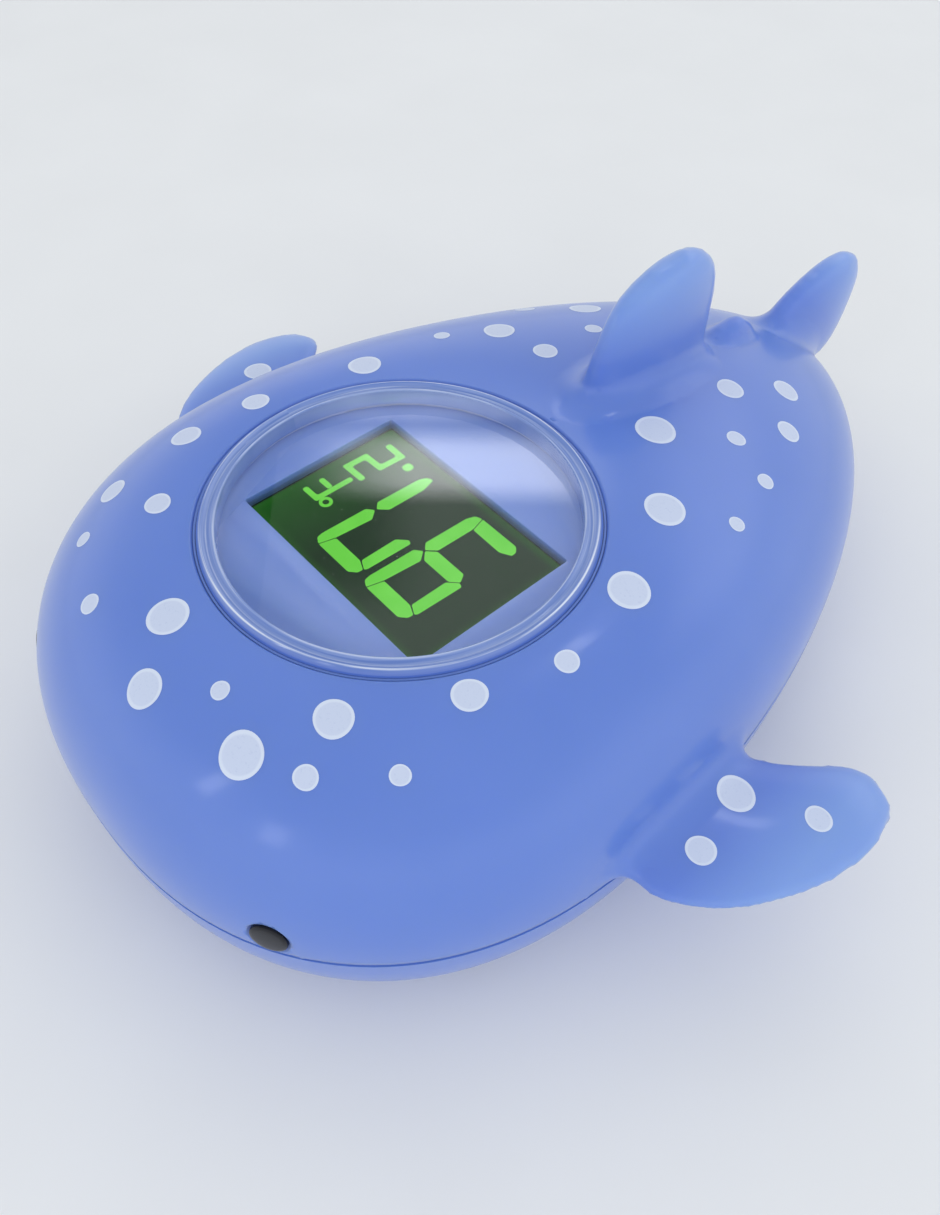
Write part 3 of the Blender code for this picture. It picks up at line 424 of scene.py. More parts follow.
def fin(name, shape, place, across):
    """A fin of elliptical sections between its edges, drawn in to a round tip."""
    lead = smooth_path(shape["lead"], FIN_STATIONS)
    trail = smooth_path(shape["trail"], FIN_STATIONS)
    half = smooth_path(shape["half"], FIN_STATIONS)[:, 0]
    across = np.array(across)
    angles = [tau * k / FIN_SIDES for k in range(FIN_SIDES)]
    rings = []
    for front, rear, thick in zip(lead, trail, half):
        start, end = np.array(place(front, thick)), np.array(place(rear, thick))
        middle, chord = (start + end) / 2, (end - start) / 2
        rings.append([middle + chord * cos(a) + across * thick * sin(a) for a in angles])
    last, before = rings[-1], rings[-2]
    outward = np.cross(chord, across)
    outward *= np.sign(outward @ (middle - before[0] / 2 - before[FIN_SIDES // 2] / 2))
    outward *= TIP_REACH * thick / np.linalg.norm(outward)
    for turn in TIP_TURNS:
        rings.append([middle + outward * sin(turn) + (point - middle) * cos(turn) for point in last])
    return loft(name, rings)


def upright_place(point, _):
    return 0.0, LENS_Y + point[0], RING_Z + point[1]


def pectoral(side):
    def place(point, thick):
        return side * point[0], LENS_Y + point[1], UPPER_EDGE_Z + PECTORAL_LIFT + thick
    return fin("pectoral_tool", PECTORAL, place, (0, 0, 1))


def tree_of(*objects):
    return BVHTree.FromPolygons(*meshes_of(objects))


def fused(name, parts):
    """Fuse overlapping closed solids into one even mesh, and use them up."""
    whole = object_from(name, *meshes_of(parts, MM))
    for part in parts:
        bpy.data.objects.remove(part)
    modifier = whole.modifiers.new("fuse", 'REMESH')
    modifier.mode = 'VOXEL'
    modifier.voxel_size = VOXEL * MM
    return applied(whole, modifier)


def nearest(tree, points):
    """The nearest place on a surface, and the distance to it in millimetres, for each point."""
    places = np.empty_like(points)
    distances = np.empty(len(points))
    for number, point in enumerate(points):
        place, _, _, distance = tree.find_nearest(point)
        places[number] = place
        distances[number] = distance / MM
    return places, distances


def soften_creases(obj, dome_tree, fin_tree, small_tree):
    """Round the creases where fins meet the dome, and lay the rest on the exact surfaces."""
    mesh = obj.data
    points = np.empty(3 * len(mesh.vertices))
    mesh.vertices.foreach_get("co", points)
    points = points.reshape(-1, 3)
    edges = np.empty(2 * len(mesh.edges), dtype=int)
    mesh.edges.foreach_get("vertices", edges)
    first, second = edges.reshape(-1, 2).T
    on_dome, from_dome = nearest(dome_tree, points)
    on_fin, from_fin = nearest(fin_tree, points)
    _, from_small = nearest(small_tree, points)
    reach = np.interp(from_small, SMALL_FILLET_SPAN, [SMALL_FILLET_REACH, FILLET_REACH])
    weight = np.clip(1 - np.maximum(from_dome, from_fin) / reach, 0, 1)
    weight[points[:, 2] < (UPPER_EDGE_Z + PARTING_KEEP) * MM] = 0.0
    exact = np.where((from_dome < from_fin)[:, None], on_dome, on_fin)
    points = np.where((weight < FILLET_START)[:, None], exact, points)
    count = np.bincount(first, minlength=len(points)) + np.bincount(second, minlength=len(points))

    def pull(points):
        """How far each point lies from the mean of its neighbours."""
        total = [np.bincount(first, points[second, axis], len(points))
                 + np.bincount(second, points[first, axis], len(points)) for axis in range(3)]
        return np.stack(total, axis=1) / count[:, None] - points
    for _ in range(FILLET_ROUNDS):
        points += FILLET_PACE * np.clip(weight * 2, 0, 1)[:, None] * pull(points)
    bend = np.clip(np.linalg.norm(pull(points), axis=1) / MM / EDGE_BEND, 0, 1)
    bend[(points[:, 2] < (UPPER_EDGE_Z + PARTING_KEEP) * MM) | (from_fin > from_dome)] = 0.0
    for _ in range(EDGE_ROUNDS):
        points += EDGE_PACE * bend[:, None] * pull(points)
    mesh.vertices.foreach_set("co", points.ravel())


class Exact:
    """Exact surfaces kept to read smooth normals from, without their end caps."""

    def __init__(self, objects):
        self.points, faces = meshes_of(objects)
        self.faces = [face for face in faces if len(face) == 4]
        sums = [Vector((0, 0, 0)) for _ in self.points]
        for face in self.faces:
            a, b, c, d = (self.points[k] for k in face)
            out = (c - a).cross(d - b)
            for k in face:
                sums[k] += out
        self.normals = [out.normalized() for out in sums]
        self.tree = BVHTree.FromPolygons(self.points, self.faces)

    def read(self, place):
        """The smooth normal at the nearest place, and the distance to it in millimetres."""
        hit, _, index, distance = self.tree.find_nearest(place)
        face = self.faces[index]
        weights = poly_3d_calc([self.points[k] for k in face], hit)
        out = Vector((0, 0, 0))
        for k, weight in zip(face, weights):
            out += self.normals[k] * weight
        return out.normalized(), distance / MM


def lay_normals(obj, dome, fins):
    """Shade the untouched stretches of dome and fins with the exact surfaces' normals."""
    mesh = obj.data
    normals = np.zeros((len(mesh.vertices), 3))
    for number, vertex in enumerate(mesh.vertices):
        readings = [surface.read(vertex.co) for surface in (dome, fins)]
        normal, distance = min(readings, key=lambda reading: reading[1])
        if distance < ON_SURFACE:
            normals[number] = normal
    least = np.ones(len(mesh.vertices))
    for polygon in mesh.polygons:
        corners = list(polygon.vertices)
        facing = normals[corners] @ np.array(polygon.normal)
        least[corners] = np.minimum(least[corners], facing)
    normals[least < SAME_FACE] = 0.0
    mesh.normals_split_custom_set_from_vertices([tuple(normal) for normal in normals])


def rounded_rectangle(size, corner, z, middle, grow=0.0, steps=6):
    """An outline with round corners, about a middle point."""
    ring = []
    for turn, (sx, sy) in enumerate(((1, 1), (-1, 1), (-1, -1), (1, -1))):
        for k in range(steps + 1):
            a = pi / 2 * (turn + k / steps)
            x = sx * (size[0] / 2 - corner) + (corner + grow) * cos(a)
            y = sy * (size[1] / 2 - corner) + (corner + grow) * sin(a)
            ring.append((middle[0] + x, middle[1] + y, z))
    return ring


def window_rings(extra, levels):
    """The display window's outline, larger by an extra on each side, at (height, growth) pairs."""
    size = [side + 2 * extra for side in WINDOW_SIZE]
    middle = (WINDOW_MIDDLE[0], LENS_Y + WINDOW_MIDDLE[1])
    return [rounded_rectangle(size, WINDOW_CORNER, z, middle, grow) for z, grow in levels]


def eye_rings(side, levels, sides):
    """Rings about an eye's axis, from (radius, height over the dome) pairs."""
    here, normal = dome_point(side * radians(EYE_ANGLE), UPPER_EDGE_Z - CLEAR / 2 + EYE_HEIGHT)
    sideways = normal.cross(Vector((0, 0, 1))).normalized()
    upward = sideways.cross(normal)
    angles = [tau * k / sides for k in range(sides)]
    return [[here + normal * depth + (sideways * cos(a) + upward * sin(a)) * reach for a in angles]
            for reach, depth in levels]


def eye_socket(side):
    reach = EYE_RADIUS + CLEAR
    return loft("socket_tool", eye_rings(side, [(reach, -EYE_DEPTH - CLEAR), (reach, 3.0)], 32))


def upper_cutter():
    """Everything that is open in the top moulding: hollow, lens pocket, window, holes, sockets."""
    body = Body(HOLLOW_SPOKES)
    below = UPPER_EDGE_Z - RIM_HEIGHT
    above = UPPER_EDGE_Z + RIM_HEIGHT
    inner = POCKET_RADIUS + POCKET_WALL
    rim = body.outline - RIM_WIDTH
    rings = [body.ring(inner, FLOOR_UNDER_Z)]
    rings += body.dome(inner, WALL, RING_Z - WALL, above, 12)
    rings += [body.ring(rim, above), body.ring(rim, below)]
    cutter = loft("hollow_tool", rings)
    for place in CASE_COLUMNS:
        combine(cutter, 'DIFFERENCE', cylinder("column_tool", CASE_COLUMN_RADIUS, below - 1, RING_Z, place))
    boss_low = BOARD_TOP_Z + CLEAR
    for place in BOARD_SCREWS:
        combine(cutter, 'DIFFERENCE', cylinder("boss_tool", BOARD_BOSS_RADIUS, boss_low, RING_Z, place))
    quarter = np.linspace(0, pi / 2, 7)
    profile = [(POCKET_RADIUS, POCKET_FLOOR_Z)]
    profile += [(POCKET_RADIUS + LENS_LIP * (1 - cos(a)), RING_Z - LENS_LIP * (1 - sin(a))) for a in quarter]
    pocket = turned("pocket_tool", profile + [(DOME_RADIUS, RING_Z + 2)], (0, LENS_Y))
    levels = [(FLOOR_UNDER_Z - 1, -WINDOW_INSET)]
    levels += [(POCKET_FLOOR_Z - WINDOW_DROP * (1 - sin(a)), -WINDOW_INSET * cos(a)) for a in quarter]
    window = loft("window_tool", window_rings(WINDOW_GROWTH, levels + [(POCKET_FLOOR_Z + 0.5, 0.0)]))
    combine(cutter, 'UNION', pocket, window)
    pilots = [(place, CASE_PILOT_RADIUS, below, UPPER_EDGE_Z + CASE_PILOT_DEPTH, 24)
              for place in CASE_COLUMNS]
    pilots += [(place, BOARD_PILOT_RADIUS, BOARD_TOP_Z, BOARD_TOP_Z + BOARD_PILOT_DEPTH, 12)
               for place in BOARD_SCREWS]
    for place, radius, low, high, sides in pilots:
        combine(cutter, 'UNION', cylinder("pilot_tool", radius, low, high, place, sides))
    return combine(cutter, 'UNION', eye_socket(1), eye_socket(-1))


def make_upper_skin():
    """The blue top moulding with its fins grown smoothly out of the dome."""
    body = Body(SKIN_SPOKES)
    rings = [body.ring(POCKET_RADIUS / 2, RING_Z)]
    rings += body.dome(DOME_RADIUS, 0.0, RING_Z, UPPER_EDGE_Z, SKIN_STEPS)
    dome = loft("dome_tool", rings)
    fins = [fin("fin_tool", shape, upright_place, (1, 0, 0)) for shape in (DORSAL, SECOND_DORSAL, TAIL_FIN)]
    fins += [pectoral(1), pectoral(-1)]
    dome_tree = tree_of(dome)
    fin_tree = tree_of(*fins)
    small_tree = tree_of(fins[1])
    exact_dome, exact_fins = Exact([dome]), Exact(fins)
    skin = fused("upper_skin", [dome] + fins)
    soften_creases(skin, dome_tree, fin_tree, small_tree)
    combine(skin, 'DIFFERENCE', upper_cutter())
    mark_thin_places(skin, dome_tree)
    skin.data.shade_smooth()
    skin.data.set_sharp_from_angle(angle=radians(SHARP_ANGLE))
    lay_normals(skin, exact_dome, exact_fins)
    return skin


def bowl(body, inset, flat, top, bottom, steps):
    """Rings of the belly, from the upright wall at the parting line down to the flat."""
    rings = []
    outline = body.outline - inset
    for turn in np.linspace(0, pi / 2, steps + 1):
        share = max(cos(turn), 0.0) ** (2 / BASE_POWER)
        drop = sin(turn) ** (2 / BASE_POWER)
        rings.append(body.ring(flat + (outline - flat) * share, top - (top - bottom) * drop))
    return rings


def stadium(name, half_width, half_length, low, high, center):
    """An upright block with round ends along Y."""
    arc = half_length - half_width
    turn = np.linspace(0, pi, 25)
    rings = []
    for z in (low, high):
        rear = [(center[0] + half_width * cos(a), center[1] + arc + half_width * sin(a), z) for a in turn]
        front = [(center[0] - half_width * cos(a), center[1] - arc - half_width * sin(a), z) for a in turn]
        rings.append(rear + front)
    return loft(name, rings)


def make_lower_skin():
    """The blue belly moulding, as smooth as the top, open where screws, door and sensor sit."""
    body = Body(SKIN_SPOKES)
    edge_z = UPPER_EDGE_Z - CLEAR
    skin = loft("lower_skin", bowl(body, 0.0, body.outline * FLAT_SHARE, edge_z, 0.0, SKIN_STEPS // 2))
    above = edge_z + 1
    rim_under = edge_z - RIM_HEIGHT
    coarse = Body(HOLLOW_SPOKES)
    rings = [coarse.ring(coarse.outline - RIM_WIDTH, z) for z in (above, rim_under)]
    rings += bowl(coarse, WALL, coarse.outline * FLAT_SHARE - WALL / 2, rim_under, WALL, 8)
    cutter = loft("hollow_tool", rings)
    bay = (0, LENS_Y + BAY_SHIFT)
    bay_top = low_z("contact_minus") + 2 * CLEAR + WALL
    boss_top = low_z("sensor_seal") - CLEAR
    sensor = axis_of("sensor_cap")
    studs = [axis_of(node) for node in ("water_contact_left", "water_contact_right")]
    kept = [cylinder("column_tool", CASE_COLUMN_RADIUS, -1, above + 1, place) for place in CASE_COLUMNS]
    kept.append(stadium("bay_tool", DOOR_HALF_WIDTH + WALL, DOOR_HALF_LENGTH + WALL, -1, bay_top, bay))
    kept.append(cylinder("boss_tool", radius_of("sensor_cap") + WALL, -1, boss_top, sensor))
    kept += [cylinder("boss_tool", STUD_RADIUS + WALL, -1, boss_top, place) for place in studs]
    combine(cutter, 'DIFFERENCE', *kept)
    recess_top = low_z("battery_cell")
    cuts = [stadium("recess_tool", DOOR_HALF_WIDTH + CLEAR, DOOR_HALF_LENGTH + CLEAR, -1, recess_top, bay)]
    head_radius = radius_of("case_screw_1") + 2 * CLEAR
    seat = low_z("case_screw_1") + CASE_SCREW_HEAD
    for place in CASE_COLUMNS:
        cuts.append(cylinder("counterbore_tool", head_radius, -1, seat, place))
        cuts.append(cylinder("bore_tool", CASE_PILOT_RADIUS, seat - 1, above, place))
    cuts.append(cylinder("bore_tool", SENSOR_RADIUS + CLEAR, -1, boss_top + 1, sensor, FINE_SIDES))
    head_top = STUD_HEAD_HEIGHT + 2 * CLEAR
    for place in studs:
        cuts.append(cylinder("bore_tool", STUD_RADIUS + CLEAR, -1, boss_top + 1, place))
        cuts.append(cylinder("recess_tool", STUD_HEAD_RADIUS + CLEAR, -1, head_top, place, FINE_SIDES))
    combine(cutter, 'UNION', *cuts)
    return combine(skin, 'DIFFERENCE', cutter)


def mark_thin_places(obj, dome_tree):
    """Note on each point how far out on a fin it is, from 0 on the dome to 1 at a tip."""
    mesh = obj.data
    outness = mesh.attributes.new("fin_reach", 'FLOAT', 'POINT')
    values = []
    for vertex in mesh.vertices:
        place, normal, _, distance = dome_tree.find_nearest(vertex.co)
        outside = (vertex.co - place).dot(normal) > 0
        values.append(min(distance / MM / FIN_LENGTH, 1.0) if outside else 0.0)
    outness.data.foreach_set("value", values)


def finished(obj, body, finish, crease=SHARP_ANGLE, replaces=()):
    """Give a piece its material and shading, and tie it to the frame."""
    obj.data.materials.clear()
    obj.data.materials.append(finish)
    if not obj.data.has_custom_normals:
        obj.data.shade_smooth()
        obj.data.set_sharp_from_angle(angle=radians(crease))
    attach(obj, body)
    if replaces:
        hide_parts(*replaces)
    return obj


def make_disc():
    """The clear disc inside the rim, a little lower than the rim's crests."""
    r, top, bottom = RIM_INNER_RADIUS + 0.1, LENS_TOP_Z - DISC_DROP, LENS_BOTTOM_Z + 0.05
    profile = [(0.02, top), (r - 0.4, top), (r, top), (r, bottom), (r - 0.4, bottom), (0.02, bottom)]
    return turned("clear_disc", profile, (0, LENS_Y))


def make_rim():
    """The lens's rim: two rounded crests with a shallow valley between, and a round shoulder."""
    r, inner, top, bottom = LENS_RADIUS, RIM_INNER_RADIUS, LENS_TOP_Z, LENS_BOTTOM_Z
    crest, valley = inner + 1.55, inner + 0.85
    section = [(inner, bottom), (inner, top - 0.3), (inner + 0.06, top - 0.16), (inner + 0.18, top - 0.08),
               (inner + 0.32, top - 0.1), (inner + 0.5, top - 0.26), (valley, top - 0.4),
               (crest - 0.35, top - 0.3), (crest - 0.16, top - 0.08), (crest, top),
               (crest + 0.16, top - 0.07), (crest + 0.3, top - 0.24), (r - 0.2, top - 0.42),
               (r - 0.07, top - 0.62), (r, top - 0.9), (r, bottom + 0.15), (r - 0.15, bottom)]
    return turned("clear_rim", section, (0, LENS_Y), closed=True)


def make_gap_ring():
    """A body-blue ring that closes the slit between the lens and its pocket, below the lip: painted light
    that fills the slit's dark shade.
    """
    inner, outer, top = LENS_RADIUS + GAP_RING_PLAY, POCKET_RADIUS - GAP_RING_PLAY, RING_Z - GAP_RING_DROP
    low = top - GAP_RING_HEIGHT
    section = [(inner, low), (outer, low), (outer, top), (inner, top)]
    return turned("lens_gap_ring", section, (0, LENS_Y), closed=True)


def conformed_disc(tree, center, radius, seed):
    """Points and faces of a thin printed disc that follows the surface below it."""
    hit, normal, _, _ = tree.ray_cast(center * MM, Vector((0, 0, -1)))
    if hit is None:
        return [], []
    sideways = normal.cross(Vector((0, 1, 0))).normalized()
    upward = sideways.cross(normal)

    def placed(offset, lift):
        start = hit + offset + normal * SPOT_SEARCH * MM
        place, out, _, _ = tree.ray_cast(start, -normal, 3 * SPOT_SEARCH * MM)
        if place is None:
            place, out = hit + offset, normal
        return (place + out * lift * MM) / MM
    points = []
    for lift in (SPOT_LIFT, -SPOT_SINK):
        points.append(placed(Vector((0, 0, 0)), lift))
        for ring in range(1, SPOT_RINGS + 1):
            for k in range(SPOT_SIDES):
                a = tau * k / SPOT_SIDES
                wobble = 1 + 0.025 * sin(2 * a + seed) + 0.015 * sin(3 * a + 2.1 * seed)
                reach = radius * MM * wobble * ring / SPOT_RINGS
                points.append(placed((sideways * cos(a) + upward * sin(a)) * reach, lift))
    faces = []
    layer = 1 + SPOT_RINGS * SPOT_SIDES
    edge = layer - SPOT_SIDES
    for k in range(SPOT_SIDES):
        after = (k + 1) % SPOT_SIDES
        for start in (0, layer):
            faces.append([start, start + 1 + k, start + 1 + after])
            for one in range(start + 1, start + edge, SPOT_SIDES):
                two = one + SPOT_SIDES
                faces.append([one + k, two + k, two + after, one + after])
        faces.append([edge + k, edge + after, edge + layer + after, edge + layer + k])
    return points, faces


def make_eye(side):
    """A black domed insert in its socket, finer than the solid and as large."""
    levels = [(EYE_RADIUS, -EYE_DEPTH), (EYE_RADIUS, -0.12), (EYE_RADIUS - 0.05, 0.0)]
    levels += [(EYE_RADIUS * cos(a), EYE_CROWN * sin(a)) for a in (0.45, 0.7, 0.95, 1.2, 1.4, 1.52)]
    return loft("eye_dome_left" if side > 0 else "eye_dome_right", eye_rings(side, levels, FINE_SIDES))


def make_spots(skin):
    """All the white printed spots, as one thin piece that lies on the moulding."""
    tree = tree_of(skin)
    discs = []
    nearness = []
    for number, (x, y, radius) in enumerate(SPOTS + FIN_SPOTS):
        points, faces = conformed_disc(tree, Vector((x, LENS_Y + y, LENS_TOP_Z + 30)), radius, number)
        discs.append((points, faces))
        nearness += [min((point - points[0]).length / radius, 1.0) for point in points]
    spots = object_from("printed_spots", *joined(discs))
    spots.data.attributes.new("edge", 'FLOAT', 'POINT').data.foreach_set("value", nearness)
    return spots


def on_display(point, z):
    """A point of the display, right and up as it is read, in the part's frame."""
    return -point[0] - READING_SHIFT[0], LENS_Y - point[1] - READING_SHIFT[1], z


def rounded_outline(corners, radius):
    """A polygon with its corners cut to short arcs."""
    outline = []
    count = len(corners)
    for k in range(count):
        here = np.array(corners[k], dtype=float)
        before = np.array(corners[k - 1]) - here
        after = np.array(corners[(k + 1) % count]) - here
        reach = min(radius, 0.45 * np.linalg.norm(before), 0.45 * np.linalg.norm(after))
        start = here + before / np.linalg.norm(before) * reach
        end = here + after / np.linalg.norm(after) * reach
        for t in (0.0, 0.33, 0.67, 1.0):
            outline.append((1 - t) ** 2 * start + 2 * t * (1 - t) * here + t ** 2 * end)
    return outline


def digit_segments(shown):
    """Outlines of a seven-segment digit's lit segments, from its lower left corner."""
    w, h, t = DIGIT_WIDTH, DIGIT_HEIGHT, STROKE
    m = h / 2
    gap = 0.13
    shapes = {
        "a": [(0.25, h - 1.45), (0.3, h - 0.75), (1.1, h), (w - 1.2, h), (w - t + 0.1, h - t - 0.25),
              (t - 0.2, h - t - 0.25)],
        "b": [(w - 1.2 + gap, h), (w - 0.2, h - 0.5), (w, h - 1.3), (w, m + 0.85), (w - 0.85, m + gap),
              (w - t - 0.05, m + 1.3), (w - t + 0.1 + gap, h - t - 0.3)],
        "c": [(w - 0.85, m - gap), (w, m - 0.9), (w, 1.4), (w - 0.35, 0.35), (w - 1.2, 0.0), (w - t, 1.9),
              (w - t - 0.05, m - 1.25)],
        "d": [(w - t - gap, 1.95), (w - 1.2 - gap, 0.0), (0.75, 0.0), (0.1, 0.6), (0.0, 1.3), (1.35, 2.05)],
        "f": [(0.2, h - 1.55), (t - 0.2 - gap, h - t - 0.4), (t - 0.15, m + 1.25), (0.55, m + gap),
              (0.0, m + 0.35), (0.0, h - 1.9)],
        "g": [(0.6, m), (1.55, m + 0.95), (w - t - 0.25, m + 0.95), (w - 1.0, m), (w - t - 0.2, m - 1.05),
              (1.3, m - 1.05)],
    }
    return [shapes[name] for name in shown]


def ribbon(path, width):
    """The outline of a stroke of even width along a path."""
    path = [np.array(p, dtype=float) for p in path]
    left = []
    right = []
    for k, here in enumerate(path):
        before = here - path[k - 1] if k else path[1] - here
        after = path[k + 1] - here if k + 1 < len(path) else before
        before, after = before / np.linalg.norm(before), after / np.linalg.norm(after)
        along = before + after
        along /= np.linalg.norm(along)
        side = np.array([-along[1], along[0]])
        reach = width / 2 / max(abs(side @ np.array([-before[1], before[0]])), 0.4)
        left.append(here + side * reach)
        right.append(here - side * reach)
    return left + right[::-1]


def make_digits():
    """The lit reading: 97.2 with its degree sign and unit, as thin plates on the display."""
    outlines = []
    for corner, shown in ((NINE_AT, "abcdfg"), (SEVEN_AT, "abcf")):
        for shape in digit_segments(shown):
            slanted = [(corner[0] + x + SLANT * (y - DIGIT_HEIGHT / 2), corner[1] + y) for x, y in shape]
            outlines.append(rounded_outline(slanted, 0.2))
    two = [(10.2, -2.1), (13.35, -2.0), (13.25, -4.85), (10.5, -4.95), (10.35, -8.15), (13.1, -8.15)]
    letter = [(13.75, 4.1), (11.3, 4.05), (11.25, -1.2)]
    bar = [(13.7, 1.75), (11.7, 1.72)]
    for path, width in ((two, SMALL_STROKE), (letter, UNIT_STROKE), (bar, UNIT_STROKE)):
        outlines.append(rounded_outline(ribbon(path, width), 0.35))
    outlines.append(rounded_outline([(7.7, -6.9), (8.95, -6.9), (8.95, -8.2), (7.7, -8.2)], 0.55))
    low = PANEL_TOP_Z + FACE_THICKNESS
    high = low + DIGIT_THICKNESS
    pieces = [skinned([[on_display(p, z) for p in outline] for z in (low, high)]) for outline in outlines]
    inner, outer = DEGREE_RADII
    rings = [[on_display(p, z) for p in circle(radius, z, DEGREE_AT, 28)]
             for radius, z in ((inner, low), (outer, low), (outer, high), (inner, high))]
    return object_from("display_digits", *joined(pieces + [skinned(rings, closed=True)]))


class Graph:
    """A short way to wire nodes, whose inputs take a constant or another node's output."""

    def __init__(self, tree):
        self.tree = tree

    def put(self, socket, value):
        if isinstance(value, bpy.types.NodeSocket):
            self.tree.links.new(value, socket)
        elif socket.type == 'RGBA' and len(value) == 3:
            socket.default_value = (*value, 1.0)
        else:
            socket.default_value = value

    def fill(self, node, *first, **named):
        """Fill a node's first inputs in their order, and others by name."""
        for socket, value in zip(node.inputs, first):
            self.put(socket, value)
        for name, value in named.items():
            self.put(node.inputs[name.replace("_", " ")], value)
        return node

    def add(self, kind, **settings):
        node = self.tree.nodes.new(kind)
        for key, value in settings.items():
            setattr(node, key, value)
        return node

    def math(self, operation, *values):
        return self.fill(self.add("ShaderNodeMath", operation=operation), *values).outputs[0]

    def vector(self, operation, *values):
        return self.fill(self.add("ShaderNodeVectorMath", operation=operation), *values).outputs

    def parts(self, vector):
        return self.fill(self.add("ShaderNodeSeparateXYZ"), vector).outputs

    def spread(self, value, low, high, to_low, to_high, **settings):
        """A value mapped from one span to another, and kept inside it."""
        node = self.add("ShaderNodeMapRange", clamp=True, **settings)
        return self.fill(node, value, low, high, to_low, to_high).outputs["Result"]


class Nodes(Graph):
    """A material's nodes."""

    def __init__(self, name):
        self.material = bpy.data.materials.new(name)
        self.material.use_nodes = True
        super().__init__(self.material.node_tree)
        self.shader = self.tree.nodes["Principled BSDF"]
        self.place = self.add("ShaderNodeTexCoord").outputs["Object"]

    def noise(self, grain, detail=3.0, roughness=0.5, stretch=None):
        """Noise with features about as large as the grain, in millimetres."""
        place = self.place
        if stretch:
            place = self.fill(self.add("ShaderNodeMapping"), Scale=stretch, Vector=place).outputs["Vector"]
        node = self.add("ShaderNodeTexNoise")
        self.fill(node, Scale=1 / (grain * MM), Detail=detail, Roughness=roughness, Vector=place)
        return node.outputs["Fac"]

    def mix(self, factor, one, two):
        """A mix of two colours."""
        node = self.fill(self.add("ShaderNodeMix", data_type='RGBA'), factor)
        self.put(node.inputs[6], one)
        self.put(node.inputs[7], two)
        return node.outputs[2]

    def attribute(self, name):
        return self.add("ShaderNodeAttribute", attribute_name=name).outputs["Fac"]

    def set(self, **values):
        self.fill(self.shader, **values)

    def bump(self, height, strength, distance):
        node = self.fill(self.add("ShaderNodeBump"), Strength=strength, Distance=distance * MM, Height=height)
        self.set(Normal=node.outputs["Normal"])


def plain_finish(name, color, roughness, metallic=0.0, grain=0.5, variation=0.12, bump=0.15, stretch=None):
    """A finish whose colour, roughness and surface vary a little, as moulded or rolled material does."""
    n = Nodes(name)
    fine = n.noise(grain, 4.0, 0.6, stretch)
    broad = n.noise(grain * 12, 2.0)
    dark = tuple(c * (1 - variation) for c in color)
    light = tuple(min(c * (1 + variation), 1.0) for c in color)
    n.set(Base_Color=n.mix(n.spread(broad, 0.35, 0.65, 0, 1), dark, light), Metallic=metallic,
          Roughness=n.spread(fine, 0.3, 0.7, roughness * 0.85, min(roughness * 1.15, 1.0)))
    n.bump(fine, bump, 0.02)
    return n


def about_lens(n):
    """A place's three offsets from the lens axis, and its distance from it seen from above."""
    x, y, z = n.parts(n.vector('SUBTRACT', n.place, (0, LENS_Y * MM, 0))[0])
    flat = n.fill(n.add("ShaderNodeCombineXYZ"), x, y).outputs[0]
    return x, y, z, n.vector('LENGTH', flat)["Value"]


def painted_pocket_light(n):
    """Mask of painted light: 1 on the pocket's floor, which the lens lights up and which is painted paler for
    it, and 0 elsewhere.
    """
    _, _, z, away = about_lens(n)
    inside = n.spread(away, (POCKET_RADIUS - 1) * MM, POCKET_RADIUS * MM, 1, 0)
    low = n.spread(z, (POCKET_FLOOR_Z + 0.05) * MM, (POCKET_FLOOR_Z + 0.5) * MM, 1, 0)
    return n.math('MULTIPLY', inside, low)


def blue_plastic(fins):
    """Glossy, slightly milky blue plastic, with painted light: paler where the fins grow thin, for light
    showing through them, and paler on the lens pocket's floor, for light the lens gathers onto it.
    """
    n = Nodes("blue_plastic_with_fins" if fins else "blue_plastic")
    broad = n.noise(14, 2.0, 0.4)
    color = n.mix(n.spread(broad, 0.1, 0.9, 0, 1), (0.110, 0.213, 0.655), (0.130, 0.238, 0.69))
    if fins:
        # Painted light: thin fins are painted paler, for light that shows through the thin plastic.
        reach = n.spread(n.attribute("fin_reach"), 0.4, 1.0, 0.0, 0.72)
        color = n.mix(reach, color, (0.235, 0.39, 0.78))
        # Painted light: the pocket's floor under the lens is painted paler, for the light that the lens
        # gathers onto it.
        color = n.mix(painted_pocket_light(n), color, (0.155, 0.265, 0.69))
    n.set(Base_Color=color, Roughness=n.spread(n.noise(6.0, 2.0), 0.1, 0.9, 0.27, 0.31),
          Coat_Weight=0.4, Coat_Roughness=0.08, Subsurface_Weight=0.2, Subsurface_Scale=0.003,
          Subsurface_Radius=(0.35, 0.6, 1.6))
    return n.material


def white_print():
    """Screen-printed white: a crisp pale edge and a mottled middle that lets blue through."""
    n = Nodes("white_print")
    mottle = n.spread(n.noise(0.32, 5.0, 0.7), 0.56, 0.74, 0, 0.5)
    inner = n.spread(n.attribute("edge"), 0.80, 0.88, 1.0, 0.0)
    body = n.mix(inner, (0.66, 0.735, 0.885), (0.575, 0.65, 0.83))
    color = n.mix(n.math('MULTIPLY', mottle, inner), body, (0.36, 0.45, 0.68))
    n.set(Base_Color=color, Roughness=n.spread(n.noise(0.5, 3.0), 0.3, 0.7, 0.32, 0.5))
    n.bump(n.noise(0.3, 3.0), 0.12, 0.02)
    return n.material


